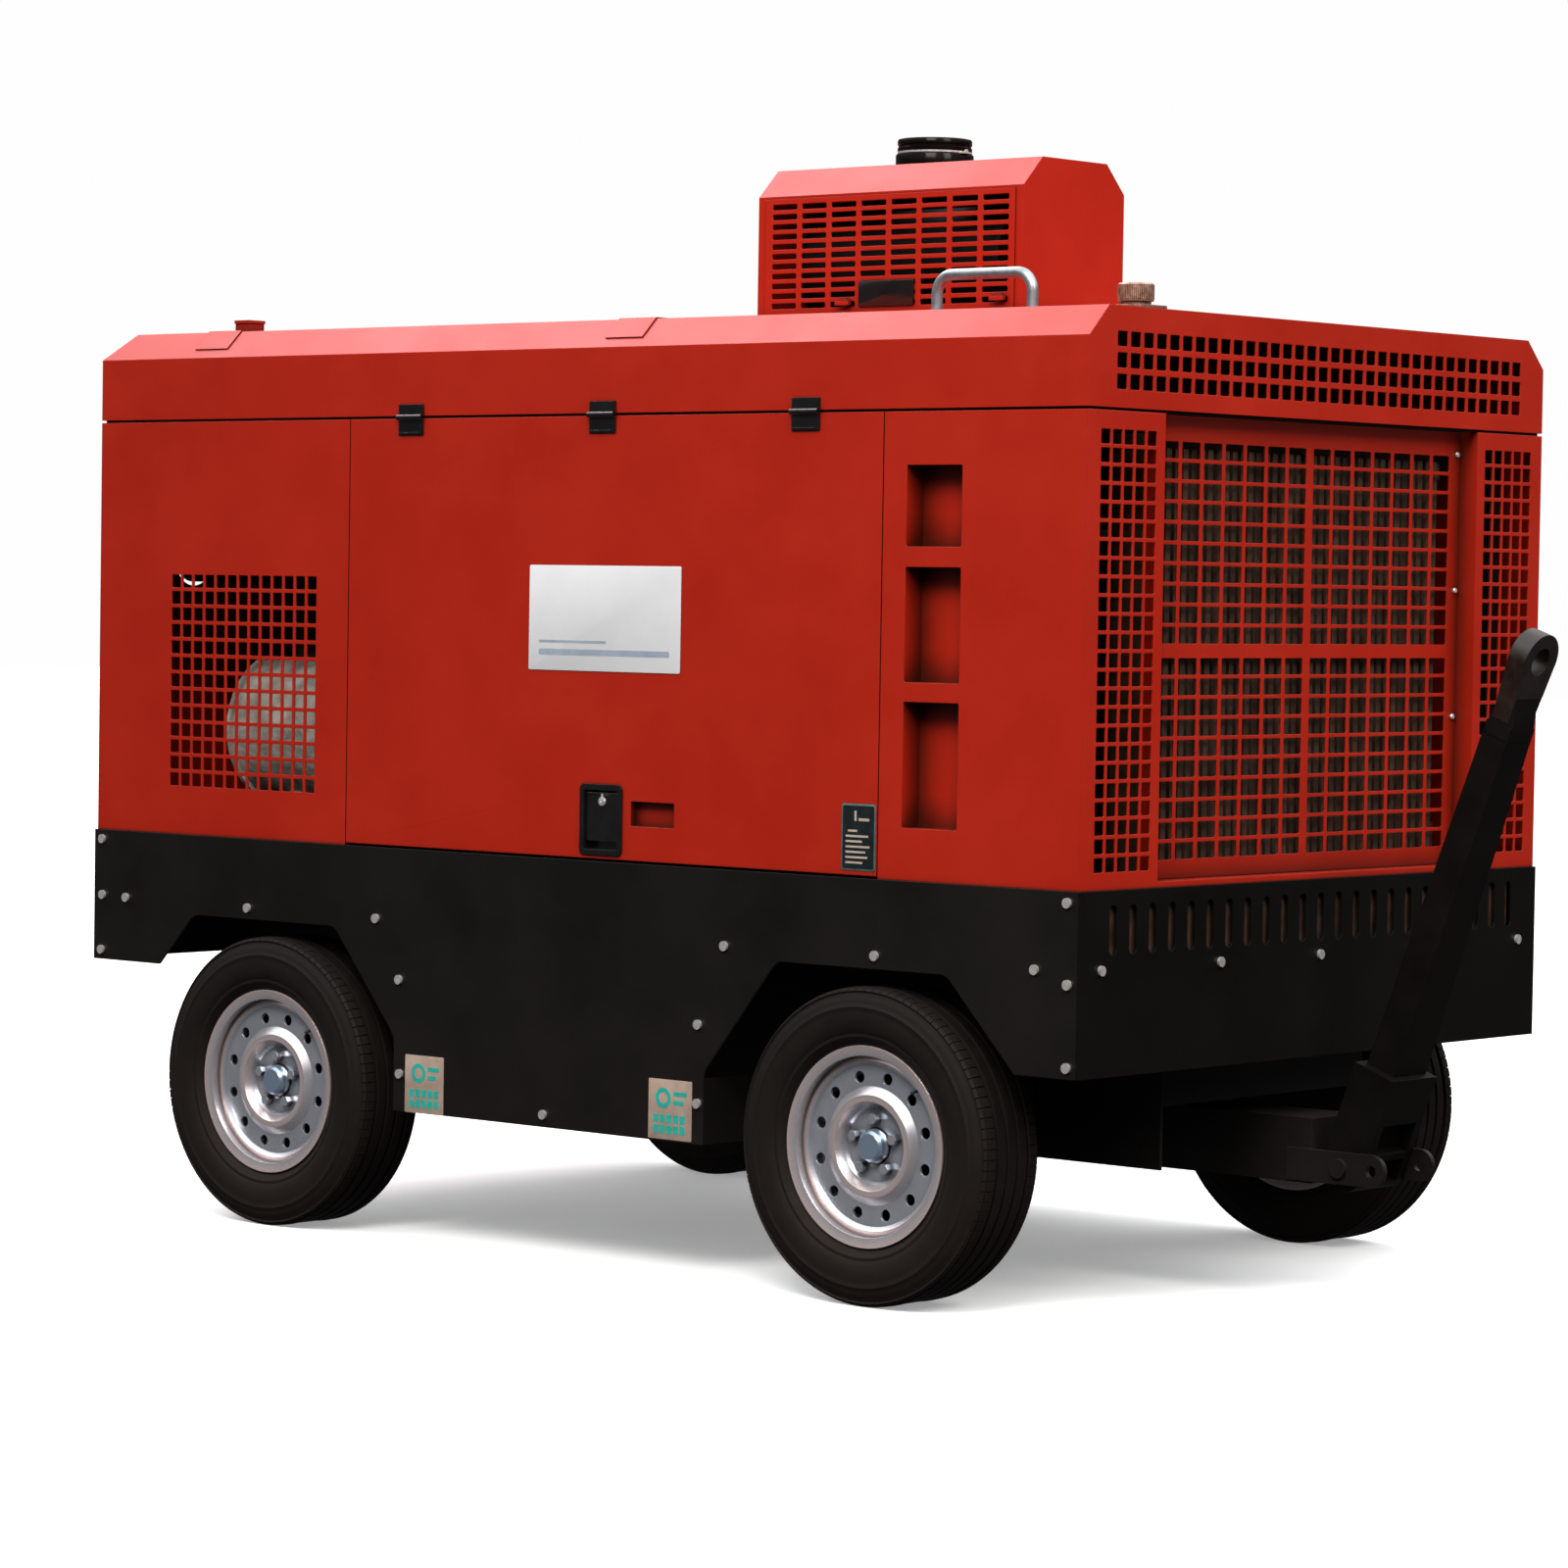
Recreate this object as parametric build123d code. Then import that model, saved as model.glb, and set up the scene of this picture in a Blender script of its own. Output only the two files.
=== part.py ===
from build123d import *
import math
import os

# Towable diesel screw compressor on four wheels, in millimetres.
# Stations are measured from the middle of the canopy: X towards the towing end,
# Y across (the left side is -Y), Z up from the ground. The finished model is
# shifted along X so that its origin is under the middle of its overall box.

# ---------------------------------------------------------------- driving sizes
body_length = 3090.0
body_width = 1740.0
deck_z = 930.0            # underside of the red canopy
seam_z = 1943.0           # gap between the panels and the roof cap, and the door hinge line
roof_edge_z = 2095.0
roof_z = 2161.0
roof_chamfer = 67.0
roof_rear_bevel = 55.0
sheet = 3.0               # canopy sheet thickness
panel_depth = 32.0        # folded depth of a canopy panel
gap = 3.0                 # gap round each door and panel
skirt_sheet = 5.0

wheel_radius = 348.0
tyre_width = 205.0
rim_radius = 203.0
rim_flange_radius = 220.5
track_inset = 140.0       # the wheels' middle planes are this much narrower apart than the body is wide
front_overhang = 568.0    # front axle behind the front face
rear_overhang = 637.0     # rear axle ahead of the rear face
stub_radius = 25.0
running = 0.05            # radial clearance of every turning pin
beam = 80.0               # axle beam, square
steer_arm = 150.0         # from a kingpin back to the track rod
kingpin_inset = 160.0     # kingpins inside the wheels' middle planes

rail_y = 347.0
rail_width = 70.0
rail_bottom_z = 620.0
rail_top_z = 780.0
deck_sheet = 6.0

door_x0 = -658.0
door_x1 = 989.0

drawbar_set_out = 135.0   # drawbar pivot ahead of the front face
drawbar_pivot_z = 303.0
drawbar_lean = 19.9       # degrees from vertical, leaning forwards, as parked
drawbar_length = 1199.0   # pivot to towing eye
pivot_radius = 15.0
foot_half = 85.0
ear_gap = 3.0
ear = 12.0
eye_hole_radius = 31.0
eye_outer_radius = 62.0
eye_thickness = 44.0

box_x0 = 20.0             # raised air intake box
box_x1 = 823.0
box_half = 188.0
box_edge_z = 2484.0
box_chamfer = 68.0
collar_x = 404.0
collar_radius = 92.0
collar_height = 66.0

handle_tube = 25.0
handle_x0 = 1009.0
handle_x1 = 1273.0
handle_inset = 150.0
handle_height = 93.0

front_x = body_length / 2
rear_x = -front_x
side_y = body_width / 2
panel_top = seam_z - gap
roof_bottom = seam_z + gap
hub_z = wheel_radius
wheel_y = (body_width - track_inset) / 2
kingpin_y = wheel_y - kingpin_inset
front_axle_x = front_x - front_overhang
rear_axle_x = rear_x + rear_overhang
drawbar_pivot_x = front_x + drawbar_set_out
handle_y = side_y - handle_inset
box_top_z = box_edge_z + box_chamfer
recess = 48.0             # depth of the front grille behind the front face
recess_half = side_y - 270.0
recess_bottom = 943.0

lean = math.radians(drawbar_lean)
eye_x = drawbar_pivot_x + drawbar_length * math.sin(lean)
eye_reach = eye_outer_radius * math.sin(lean) + eye_thickness / 2 * math.cos(lean)
overall_front = eye_x + eye_reach
overall_rear = rear_x - skirt_sheet
origin_x = (overall_front + overall_rear) / 2


# ---------------------------------------------------------------- small helpers
def block(x0, x1, y0, y1, z0, z1):
    """A box between two corners."""
    return Pos((x0 + x1) / 2, (y0 + y1) / 2, (z0 + z1) / 2) * Box(x1 - x0, y1 - y0, z1 - z0)


def rod_x(x0, x1, y, z, radius):
    return Pos((x0 + x1) / 2, y, z) * Rot(0, 90, 0) * Cylinder(radius, x1 - x0)


def rod_y(x, y0, y1, z, radius):
    return Pos(x, (y0 + y1) / 2, z) * Rot(90, 0, 0) * Cylinder(radius, y1 - y0)


def rod_z(x, y, z0, z1, radius):
    return Pos(x, y, (z0 + z1) / 2) * Cylinder(radius, z1 - z0)


def other_side(shape):
    """The same piece on the other side of the machine."""
    return mirror(shape, about=Plane.XZ)


def steps(first, last, count):
    """Evenly spaced centres from first to last."""
    return [first + (last - first) * i / (count - 1) for i in range(count)]


left_face = Plane(origin=(0, -side_y, 0), x_dir=(1, 0, 0), z_dir=(0, -1, 0))
front_face = Plane(origin=(front_x, 0, 0), x_dir=(0, 1, 0), z_dir=(1, 0, 0))
rear_face = Plane(origin=(rear_x, 0, 0), x_dir=(0, -1, 0), z_dir=(-1, 0, 0))


def holed_sheet(plane, outline, holes, thickness):
    """A flat sheet whose outer face lies on the plane. Each hole is
    (across, up, width, height, corner radius)."""
    outer = Wire.make_polygon([(a, b, 0) for a, b in outline], close=True)
    inner = []
    patterns = {}
    for across, up, width, height, radius in holes:
        size = (width, height, radius)
        if size not in patterns:
            patterns[size] = RectangleRounded(width, height, radius).face().outer_wire()
        inner.append(patterns[size].moved(Location((across, up, 0))))
    face = Face(outer, inner)
    return extrude(plane.location * face, amount=-thickness)


def rectangle(a0, a1, b0, b1):
    return [(a0, b0), (a1, b0), (a1, b1), (a0, b1)]


def hole_grid(across, up, width, height, radius):
    return [(a, b, width, height, radius) for a in across for b in up]


def side_rim(x0, x1, z0, z1):
    """The folded edge behind a side panel's skin, on the left side."""
    inner_y = -side_y + panel_depth
    outer = block(x0, x1, -side_y + sheet, inner_y, z0, z1)
    return outer - block(x0 + sheet, x1 - sheet, -side_y, inner_y + sheet, z0 + sheet, z1 - sheet)


def pocket(x0, x1, z0, z1, depth):
    """A closed pocket folded into the left side, behind an opening in the skin."""
    outer = block(x0 - sheet, x1 + sheet, -side_y + sheet, -side_y + depth, z0 - sheet, z1 + sheet)
    return outer - block(x0, x1, -side_y, -side_y + depth - sheet, z0, z1)


def opening(x0, x1, z0, z1, radius=4.0):
    return ((x0 + x1) / 2, (z0 + z1) / 2, x1 - x0, z1 - z0, radius)


# ---------------------------------------------------------------- running gear
axle_bottom = hub_z - beam / 2
axle_top = hub_z + beam / 2
spring_width = 60.0
spring_leaf = 10.0
spring_half = 400.0
spring_rise = 60.0
kingpin_radius = 15.0
centre_pin_radius = 20.0
boss_radius = 35.0
fork_top = axle_top + 4.0
fork_plate = 14.0
fork_bottom = axle_bottom - 4.0
link_pin_radius = 10.0
link_thickness = 24.0
link_gap = 4.0
link_pin_top = fork_bottom + 2 * link_gap + link_thickness
track_rod_z = fork_bottom + link_gap + link_thickness / 2
steer_pin_x = front_axle_x - steer_arm


def front_axle():
    """Square beam with a bored boss at each end and a bore in the middle."""
    half = kingpin_y - boss_radius / 2
    body = block(front_axle_x - beam / 2, front_axle_x + beam / 2, -half, half, axle_bottom, axle_top)
    # the beam's ends are narrowed to the bosses so that the wheels can steer
    for y in (-kingpin_y, kingpin_y):
        inner = math.copysign(half - beam, y)
        outer = math.copysign(half + 1, y)
        low, high = sorted((inner, outer))
        for side in (-1, 1):
            x_in = front_axle_x + side * boss_radius
            x_out = front_axle_x + side * beam
            xa, xb = sorted((x_in, x_out))
            body -= block(xa, xb, low, high, axle_bottom - 1, axle_top + 1)
        body += rod_z(front_axle_x, y, axle_bottom, axle_top, boss_radius)
        body -= rod_z(front_axle_x, y, axle_bottom - 1, axle_top + 1, kingpin_radius + running)
    return body - rod_z(front_axle_x, 0, axle_bottom - 1, axle_top + 1, centre_pin_radius + running)


hub_inner = wheel_y - 60.0
stub_end = wheel_y + 40.0


def rear_axle():
    """Square beam with a turned stub at each end."""
    half = hub_inner - 12.0
    body = block(rear_axle_x - beam / 2, rear_axle_x + beam / 2, -half, half, axle_bottom, axle_top)
    for side in (-1, 1):
        y0, y1 = sorted((side * half, side * stub_end))
        body += rod_y(rear_axle_x, y0, y1, hub_z, stub_radius)
    return body


def knuckle(side):
    """Steering knuckle: a fork round the axle boss, its kingpin, the stub and the steering arm."""
    inner = kingpin_y - boss_radius
    face = kingpin_y + boss_radius + 5.0
    plate = 22.0
    x0 = front_axle_x - boss_radius
    x1 = front_axle_x + boss_radius
    top = fork_top + fork_plate
    bottom = fork_bottom - fork_plate
    body = block(x0, x1, face, face + plate, bottom, top)
    body += block(x0, x1, inner + boss_radius, face, fork_top, top)
    body += block(x0, x1, inner + boss_radius, face, bottom, fork_bottom)
    body += rod_z(front_axle_x, kingpin_y, fork_top, top, boss_radius)
    body += rod_z(front_axle_x, kingpin_y, bottom, fork_bottom, boss_radius)
    body += rod_z(front_axle_x, kingpin_y, bottom, top, kingpin_radius)
    body += rod_y(front_axle_x, face + plate, stub_end, hub_z, stub_radius)
    arm_half = 22.0
    body += block(steer_pin_x, front_axle_x, kingpin_y - arm_half, kingpin_y + arm_half, bottom, fork_bottom)
    body += rod_z(steer_pin_x, kingpin_y, bottom, fork_bottom, arm_half)
    body += rod_z(steer_pin_x, kingpin_y, bottom, link_pin_top, link_pin_radius)
    return body if side > 0 else other_side(body)


def tie_rod():
    """Track rod with an eye at each end and one in the middle for the steering head."""
    low = track_rod_z - link_thickness / 2
    high = track_rod_z + link_thickness / 2
    body = rod_y(steer_pin_x, -kingpin_y, kingpin_y, track_rod_z, link_thickness / 2 - 2)
    for y in (-kingpin_y, 0.0, kingpin_y):
        body += rod_z(steer_pin_x, y, low, high, link_thickness)
    for y in (-kingpin_y, 0.0, kingpin_y):
        body -= rod_z(steer_pin_x, y, low - 1, high + 1, link_pin_radius + running)
    return body


head_half = foot_half + ear_gap
head_rear_x = front_axle_x + 88.0
head_front_x = drawbar_pivot_x - 80.0
head_bottom = 262.0
head_wall = 8.0
head_top = fork_top + fork_plate
ear_front_x = drawbar_pivot_x + 85.0
ear_half_height = 36.0
lock_hole_radius = 13.0


def steer_head():
    """Steering head: box beam forwards to the drawbar ears, plates over and under the front axle."""
    plate_bottom = fork_bottom - fork_plate
    body = block(head_rear_x, head_front_x, -head_half, head_half, head_bottom, head_top)
    body -= block(head_rear_x + head_wall, head_front_x - head_wall, -head_half + head_wall,
                  head_half - head_wall, head_bottom + head_wall, head_top - head_wall)
    plate_half = 60.0
    body += block(front_axle_x, head_rear_x, -plate_half, plate_half, fork_top, head_top)
    body += rod_z(front_axle_x, 0, fork_top, head_top, plate_half)
    body += block(front_axle_x, head_rear_x, -plate_half, plate_half, plate_bottom, fork_bottom)
    body += rod_z(front_axle_x, 0, plate_bottom, fork_bottom, plate_half)
    body += block(steer_pin_x, front_axle_x, -boss_radius, boss_radius, plate_bottom, fork_bottom)
    body += rod_z(steer_pin_x, 0, plate_bottom, fork_bottom, boss_radius)
    body += rod_z(front_axle_x, 0, plate_bottom, head_top, centre_pin_radius)
    body += rod_z(steer_pin_x, 0, plate_bottom, link_pin_top, link_pin_radius)
    ear_rear_x = head_front_x - 60.0
    for side in (-1, 1):
        y0, y1 = sorted((side * head_half, side * (head_half + ear)))
        plate = block(ear_rear_x, ear_front_x, y0, y1, drawbar_pivot_z - ear_half_height,
                      drawbar_pivot_z + ear_half_height)
        plate += rod_y(ear_front_x, y0, y1, drawbar_pivot_z, ear_half_height)
        plate -= rod_y(drawbar_pivot_x, y0 - 1, y1 + 1, drawbar_pivot_z, pivot_radius)
        plate -= rod_y(ear_front_x, y0 - 1, y1 + 1, drawbar_pivot_z, lock_hole_radius)
        body += plate
    return body


def drawbar_pin():
    """Headed pivot pin through the ears and the drawbar's foot."""
    end = head_half + ear
    head = 8.0
    body = rod_y(drawbar_pivot_x, -end, end, drawbar_pivot_z, pivot_radius)
    for side in (-1, 1):
        y0, y1 = sorted((side * end, side * (end + head)))
        body += rod_y(drawbar_pivot_x, y0, y1, drawbar_pivot_z, pivot_radius + 7.0)
    return body


foot_depth = 54.0
foot_top = 232.0
bar_wall = 9.0
eye_neck = 150.0          # the eye's forging starts this far below the hole
bar_bottom_half = (38.0, 62.0)
bar_top_half = (33.0, 46.0)


def in_parked_pose(shape):
    """From the drawbar's own frame (pivot at the origin, eye straight up) to its parked place."""
    return Pos(drawbar_pivot_x, 0, drawbar_pivot_z) * Rot(0, drawbar_lean, 0) * shape


def tapered(low, high, half_low, half_high, wall):
    """A box-section bar between two heights, tapering, with the wall taken off its half sizes."""
    faces = []
    for height, half in ((low, half_low), (high, half_high)):
        size = Rectangle(2 * (half[0] - wall), 2 * (half[1] - wall))
        faces.append(Pos(0, 0, height) * size)
    return loft(faces)


def drawbar():
    """Welded drawbar: hollow tapered bar on a wide foot with two windows in its front."""
    bar_top = drawbar_length - eye_neck
    foot = block(-foot_depth, foot_depth, -foot_half, foot_half, 0, foot_top)
    foot += rod_y(0, -foot_half, foot_half, 0, foot_depth)
    window_half = foot_half - 22.0
    foot -= block(12 - foot_depth, pivot_radius, -window_half, window_half, pivot_radius + 15, foot_top - 10)
    window_back = pivot_radius + 9.0
    foot -= block(window_back, foot_depth + 1, -window_half, window_half, 52, 122)
    foot -= block(window_back, foot_depth + 1, -window_half, window_half, -20, 36)
    foot -= rod_y(0, -foot_half - 1, foot_half + 1, 0, pivot_radius + running)
    bar = tapered(foot_top, bar_top, bar_bottom_half, bar_top_half, 0)
    bar -= tapered(foot_top, bar_top, bar_bottom_half, bar_top_half, bar_wall)
    return in_parked_pose(foot + bar)


def tow_eye():
    """Forged towing eye, welded to the top of the bar."""
    base = drawbar_length - eye_neck
    outline = Polyline((-bar_top_half[1], base), (bar_top_half[1], base),
                       (eye_outer_radius, drawbar_length), (-eye_outer_radius, drawbar_length), close=True)
    flat = make_face(outline) + Pos(0, drawbar_length) * Circle(eye_outer_radius)
    flat -= Pos(0, drawbar_length) * Circle(eye_hole_radius)
    across = Plane(origin=(-eye_thickness / 2, 0, 0), x_dir=(0, 1, 0), z_dir=(1, 0, 0))
    body = extrude(across.location * flat, amount=eye_thickness)
    return in_parked_pose(body)


def spring(x, y):
    """A leaf spring: four curved leaves above the axle, in the hangers' line."""
    leaves = []
    for i in range(4):
        half = spring_half - 95.0 * i
        rise = spring_rise * (half / spring_half) ** 2
        z = axle_top + 3 * spring_leaf - spring_leaf * i
        lower = ThreePointArc((-half, z + rise), (0, z), (half, z + rise))
        upper = ThreePointArc((half, z + rise + spring_leaf - 0.4), (0, z + spring_leaf - 0.4),
                              (-half, z + rise + spring_leaf - 0.4))
        ends = [Line(lower @ 1, upper @ 0), Line(upper @ 1, lower @ 0)]
        flat = make_face([lower, ends[0], upper, ends[1]])
        upright = Plane(origin=(x, y + spring_width / 2, 0), x_dir=(1, 0, 0), z_dir=(0, -1, 0))
        leaves.append(extrude(upright.location * flat, amount=spring_width))
    return leaves


def leaf_springs():
    packs = []
    for x in (front_axle_x, rear_axle_x):
        for y in (-rail_y, rail_y):
            packs += spring(x, y)
    return packs


# wheel profiles: pairs of (radius, distance outwards from the wheel's middle plane)
tread_half = 84.0
groove = 8.0
disc_seat = 34.0
disc = 6.0
vent_circle = 153.0
vent_hole_radius = 13.0
stud_circle = 59.0


def turned(points, x, side):
    """A ring turned about the wheel's axle from a closed outline."""
    outline = Polyline(*[(r, a) for r, a in points], close=True)
    ring = revolve(Plane.XY.location * make_face(outline), axis=Axis.Y)
    placed = Pos(x, wheel_y, hub_z) * ring
    return placed if side > 0 else other_side(placed)


def tyre(x, side):
    half = tyre_width / 2
    inner = rim_radius + 1.0
    points = [(inner, -74), (rim_flange_radius + 4, -78), (262, -half + 3), (292, -half),
              (322, -half + 6), (wheel_radius - 10, -tread_half - 4), (wheel_radius, -tread_half + 10)]
    for centre in (-45, -15, 15, 45):
        points += [(wheel_radius, centre - 4), (wheel_radius - groove, centre - 3),
                   (wheel_radius - groove, centre + 3), (wheel_radius, centre + 4)]
    points += [(wheel_radius, tread_half - 10), (wheel_radius - 10, tread_half + 4), (322, half - 6),
               (292, half), (262, half - 3), (rim_flange_radius + 4, 78), (inner, 74)]
    points += [(inner + 14, 62), (inner + 60, 84), (322, 82), (326, 60)]
    points += [(326, -60), (322, -82), (inner + 60, -84), (inner + 14, -62)]
    return turned(points, x, side)


def rim(x, side):
    """Pressed steel wheel: barrel, disc, twelve vent holes."""
    wall = 5.0
    barrel = [(rim_radius, -62), (rim_radius, -76), (rim_flange_radius, -79), (rim_flange_radius, -84),
              (rim_radius - wall, -80), (rim_radius - wall, -50), (170, -34), (170, 20),
              (rim_radius - wall, 36), (rim_radius - wall, 80), (rim_flange_radius, 84),
              (rim_flange_radius, 79), (rim_radius, 76), (rim_radius, 40), (175, 24), (175, -38),
              (rim_radius, -55)]
    outer = disc_seat + disc
    pressed = [(200, 41), (200, 56), (186, 60), (176, 53), (130, 53), (112, 66), (98, 66), (86, 46),
               (80, outer), (40, outer), (40, disc_seat), (82, disc_seat), (92, 42), (102, 60),
               (108, 60), (126, 47), (178, 47), (186, 52), (192, 41)]
    body = turned(barrel, x, side) + turned(pressed, x, side)
    y0, y1 = sorted((side * (wheel_y - 10), side * (wheel_y + 60)))
    for i in range(12):
        angle = math.radians(30 * i + 15)
        vx = x + vent_circle * math.cos(angle)
        vz = hub_z + vent_circle * math.sin(angle)
        body -= rod_y(vx, y0, y1, vz, vent_hole_radius)
    for i in range(5):
        angle = math.radians(72 * i + 18)
        sx = x + stud_circle * math.cos(angle)
        sz = hub_z + stud_circle * math.sin(angle)
        body -= rod_y(sx, y0, y1, sz, 7.0)
    return body


def hub(x, side):
    """Bored hub with its cap, seated against the wheel's disc."""
    seat = disc_seat
    body = turned([(stub_radius + running, -60), (75, -60), (75, seat), (38, seat), (38, 46), (34, 50),
                   (34, 62), (28, 68), (0, 68), (0, 46), (stub_radius + running, 46)], x, side)
    return body


def wheel_nuts(x, side):
    nuts = []
    for i in range(5):
        angle = math.radians(72 * i + 18)
        nx = x + stud_circle * math.cos(angle)
        nz = hub_z + stud_circle * math.sin(angle)
        y0, y1 = sorted((side * (wheel_y + disc_seat + disc), side * (wheel_y + disc_seat + disc + 18)))
        nut = Pos(nx, y0, nz) * Rot(-90, 0, 0) * extrude(RegularPolygon(12.5, 6), amount=y1 - y0)
        nuts.append(nut)
    return nuts


# ---------------------------------------------------------------- chassis
cross_width = 60.0
hanger_half = 20.0
cross_stations = (rear_x + 105.0, rear_x + 645.0, -400.0, 200.0, 720.0, front_x - 295.0, front_x - 45.0)
deck_bottom = deck_z - deck_sheet
skirt_inner = side_y - 4.0


cheek_x0 = front_axle_x + 68.0
cheek_bottom = 296.0
cheek_sheet = 8.0
cheek_x1 = front_axle_x + spring_half + hanger_half + cheek_sheet
cheek_y = rail_y + spring_width / 2


def chassis_frame():
    """Welded members: closed rails, cross beams on top, hangers below, cheeks and a cross plate at the front."""
    wall = 6.0
    members = []
    for y in (-rail_y, rail_y):
        rail = block(rear_x + 40, front_x - 40, y - rail_width / 2, y + rail_width / 2, rail_bottom_z, rail_top_z)
        rail -= block(rear_x + 46, front_x - 46, y - rail_width / 2 + wall, y + rail_width / 2 - wall,
                      rail_bottom_z + wall, rail_top_z - wall)
        members.append(rail)
    for x in cross_stations:
        members.append(block(x - cross_width / 2, x + cross_width / 2, -skirt_inner + 2, skirt_inner - 2,
                             rail_top_z, deck_bottom))
    for axle_x in (front_axle_x, rear_axle_x):
        for x in (axle_x - spring_half, axle_x + spring_half):
            for y in (-rail_y, rail_y):
                members.append(block(x - hanger_half, x + hanger_half, y - spring_width / 2,
                                     y + spring_width / 2, axle_top + 4 * spring_leaf + spring_rise + 2,
                                     rail_bottom_z))
    members.append(block(cheek_x1 - cheek_sheet, cheek_x1, -cheek_y, cheek_y, head_top + 30, rail_bottom_z))
    for side in (-1, 1):
        y0, y1 = sorted((side * cheek_y, side * (cheek_y + cheek_sheet)))
        members.append(block(cheek_x0, cheek_x1, y0, y1, cheek_bottom, rail_bottom_z))
    return members


def deck_plate():
    """Floor of the canopy, on the cross beams."""
    return block(rear_x + sheet, front_x - sheet, -side_y + panel_depth + 2, side_y - panel_depth - 2,
                 deck_bottom, deck_z)


belly_x0 = rear_axle_x + 426.0
belly_x1 = front_axle_x - 477.0
belly_bottom = 311.0
arch_top = 735.0
front_skirt_bottom = 535.0
rear_skirt_bottom = 607.0


def fuel_tank():
    """Welded tank between the rails, with its filler pipe up through the deck."""
    inner = rail_y - rail_width / 2 - 12
    body = block(belly_x0 + 40, belly_x1 - 40, -inner, inner, belly_bottom + 14, rail_top_z - 20)
    long_edges = body.edges().filter_by(Axis.X)
    return fillet(long_edges, 30.0)


def side_skirt():
    """Left skirt: one sheet with a cut-out round each wheel, and the belly's two end walls."""
    outline = [(rear_x, deck_z), (rear_x, rear_skirt_bottom), (rear_axle_x - 399, rear_skirt_bottom),
               (rear_axle_x - 277, arch_top), (rear_axle_x + 218, arch_top), (belly_x0, 487),
               (belly_x0, belly_bottom), (belly_x1, belly_bottom), (belly_x1, 475),
               (front_axle_x - 267, arch_top), (front_axle_x + 214, arch_top),
               (front_axle_x + 405, front_skirt_bottom), (front_x, front_skirt_bottom), (front_x, deck_z)]
    flat = make_face(Polyline(*outline, close=True))
    corners = [v for v in flat.vertices() if abs(v.Y - arch_top) < 1 or v.Y in (487, 475)]
    flat = fillet(corners, 38.0)
    outer = Plane(origin=(0, -side_y - skirt_sheet, 0), x_dir=(1, 0, 0), z_dir=(0, -1, 0))
    body = extrude(outer.location * flat, amount=-skirt_sheet)
    for x in (belly_x0, belly_x1 - skirt_sheet):
        body += block(x, x + skirt_sheet, -side_y, -rail_y - rail_width / 2 - 6, belly_bottom, 460)
    return body


slot_width = 26.0
slot_count = 23
slot_pitch = (body_width - 222.0) / (slot_count - 1)


def front_skirt():
    """Front skirt with its row of upright slots."""
    span = slot_pitch * (slot_count - 1) / 2
    holes = [(y, 846, slot_width, 106, slot_width / 2 - 0.1) for y in steps(-span, span, slot_count)]
    plane = Plane(origin=(front_x + skirt_sheet, 0, 0), x_dir=(0, 1, 0), z_dir=(1, 0, 0))
    outline = rectangle(-side_y - skirt_sheet, side_y + skirt_sheet, front_skirt_bottom, deck_z)
    return holed_sheet(plane, outline, holes, skirt_sheet)


def rear_skirt():
    return block(rear_x - skirt_sheet, rear_x, -side_y - skirt_sheet, side_y + skirt_sheet,
                 rear_skirt_bottom, deck_z)


side_bolts = [(rear_x + 24, 907), (rear_x + 27, 768), (rear_x + 114, 765), (rear_x + 24, 631),
              (rear_axle_x - 83, 762), (rear_axle_x + 361, 761), (belly_x0 + 15, 621), (belly_x0 + 21, 399),
              (8, 340), (belly_x1 - 17, 403), (belly_x1 - 18, 580), (belly_x1 + 57, 760),
              (front_axle_x + 16, 764), (front_x - 112, 761), (front_x - 24, 734), (front_x - 28, 906),
              (front_x - 23, 559)]
end_bolt_y = (70.0 - side_y, -375.0, 0.0, 375.0, side_y - 70.0)
bolt_radius = 11.0
bolt_head = 6.0


def skirt_bolts():
    """Domed bolts that hold the skirts."""
    bolts = []
    face = side_y + skirt_sheet
    for x, z in side_bolts:
        for side in (-1, 1):
            y0, y1 = sorted((side * face, side * (face + bolt_head)))
            bolts.append(rod_y(x, y0, y1, z, bolt_radius))
    for y in end_bolt_y:
        bolts.append(rod_x(front_x + skirt_sheet, front_x + skirt_sheet + bolt_head, y, 762, bolt_radius))
    return bolts


# ---------------------------------------------------------------- canopy
post = 40.0
post_stations = (rear_x + 60.0, door_x0 - 40.0, door_x1 + 4.0, front_x - 130.0)
post_y = side_y - panel_depth - post / 2 - 6.0
lintel_top = roof_bottom - 10.0


def canopy_posts():
    """Posts and top rails that carry the roof, inside the panels."""
    body = None
    for side in (-1, 1):
        y = side * post_y
        rail = block(post_stations[0], post_stations[-1] + post, y - post / 2, y + post / 2,
                     lintel_top - post, lintel_top)
        body = rail if body is None else body + rail
        for x in post_stations:
            body += block(x, x + post, y - post / 2, y + post / 2, deck_z, lintel_top - post)
    for x in (post_stations[0], post_stations[2]):
        body += block(x, x + post, -post_y, post_y, lintel_top - post, lintel_top)
    return body


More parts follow.
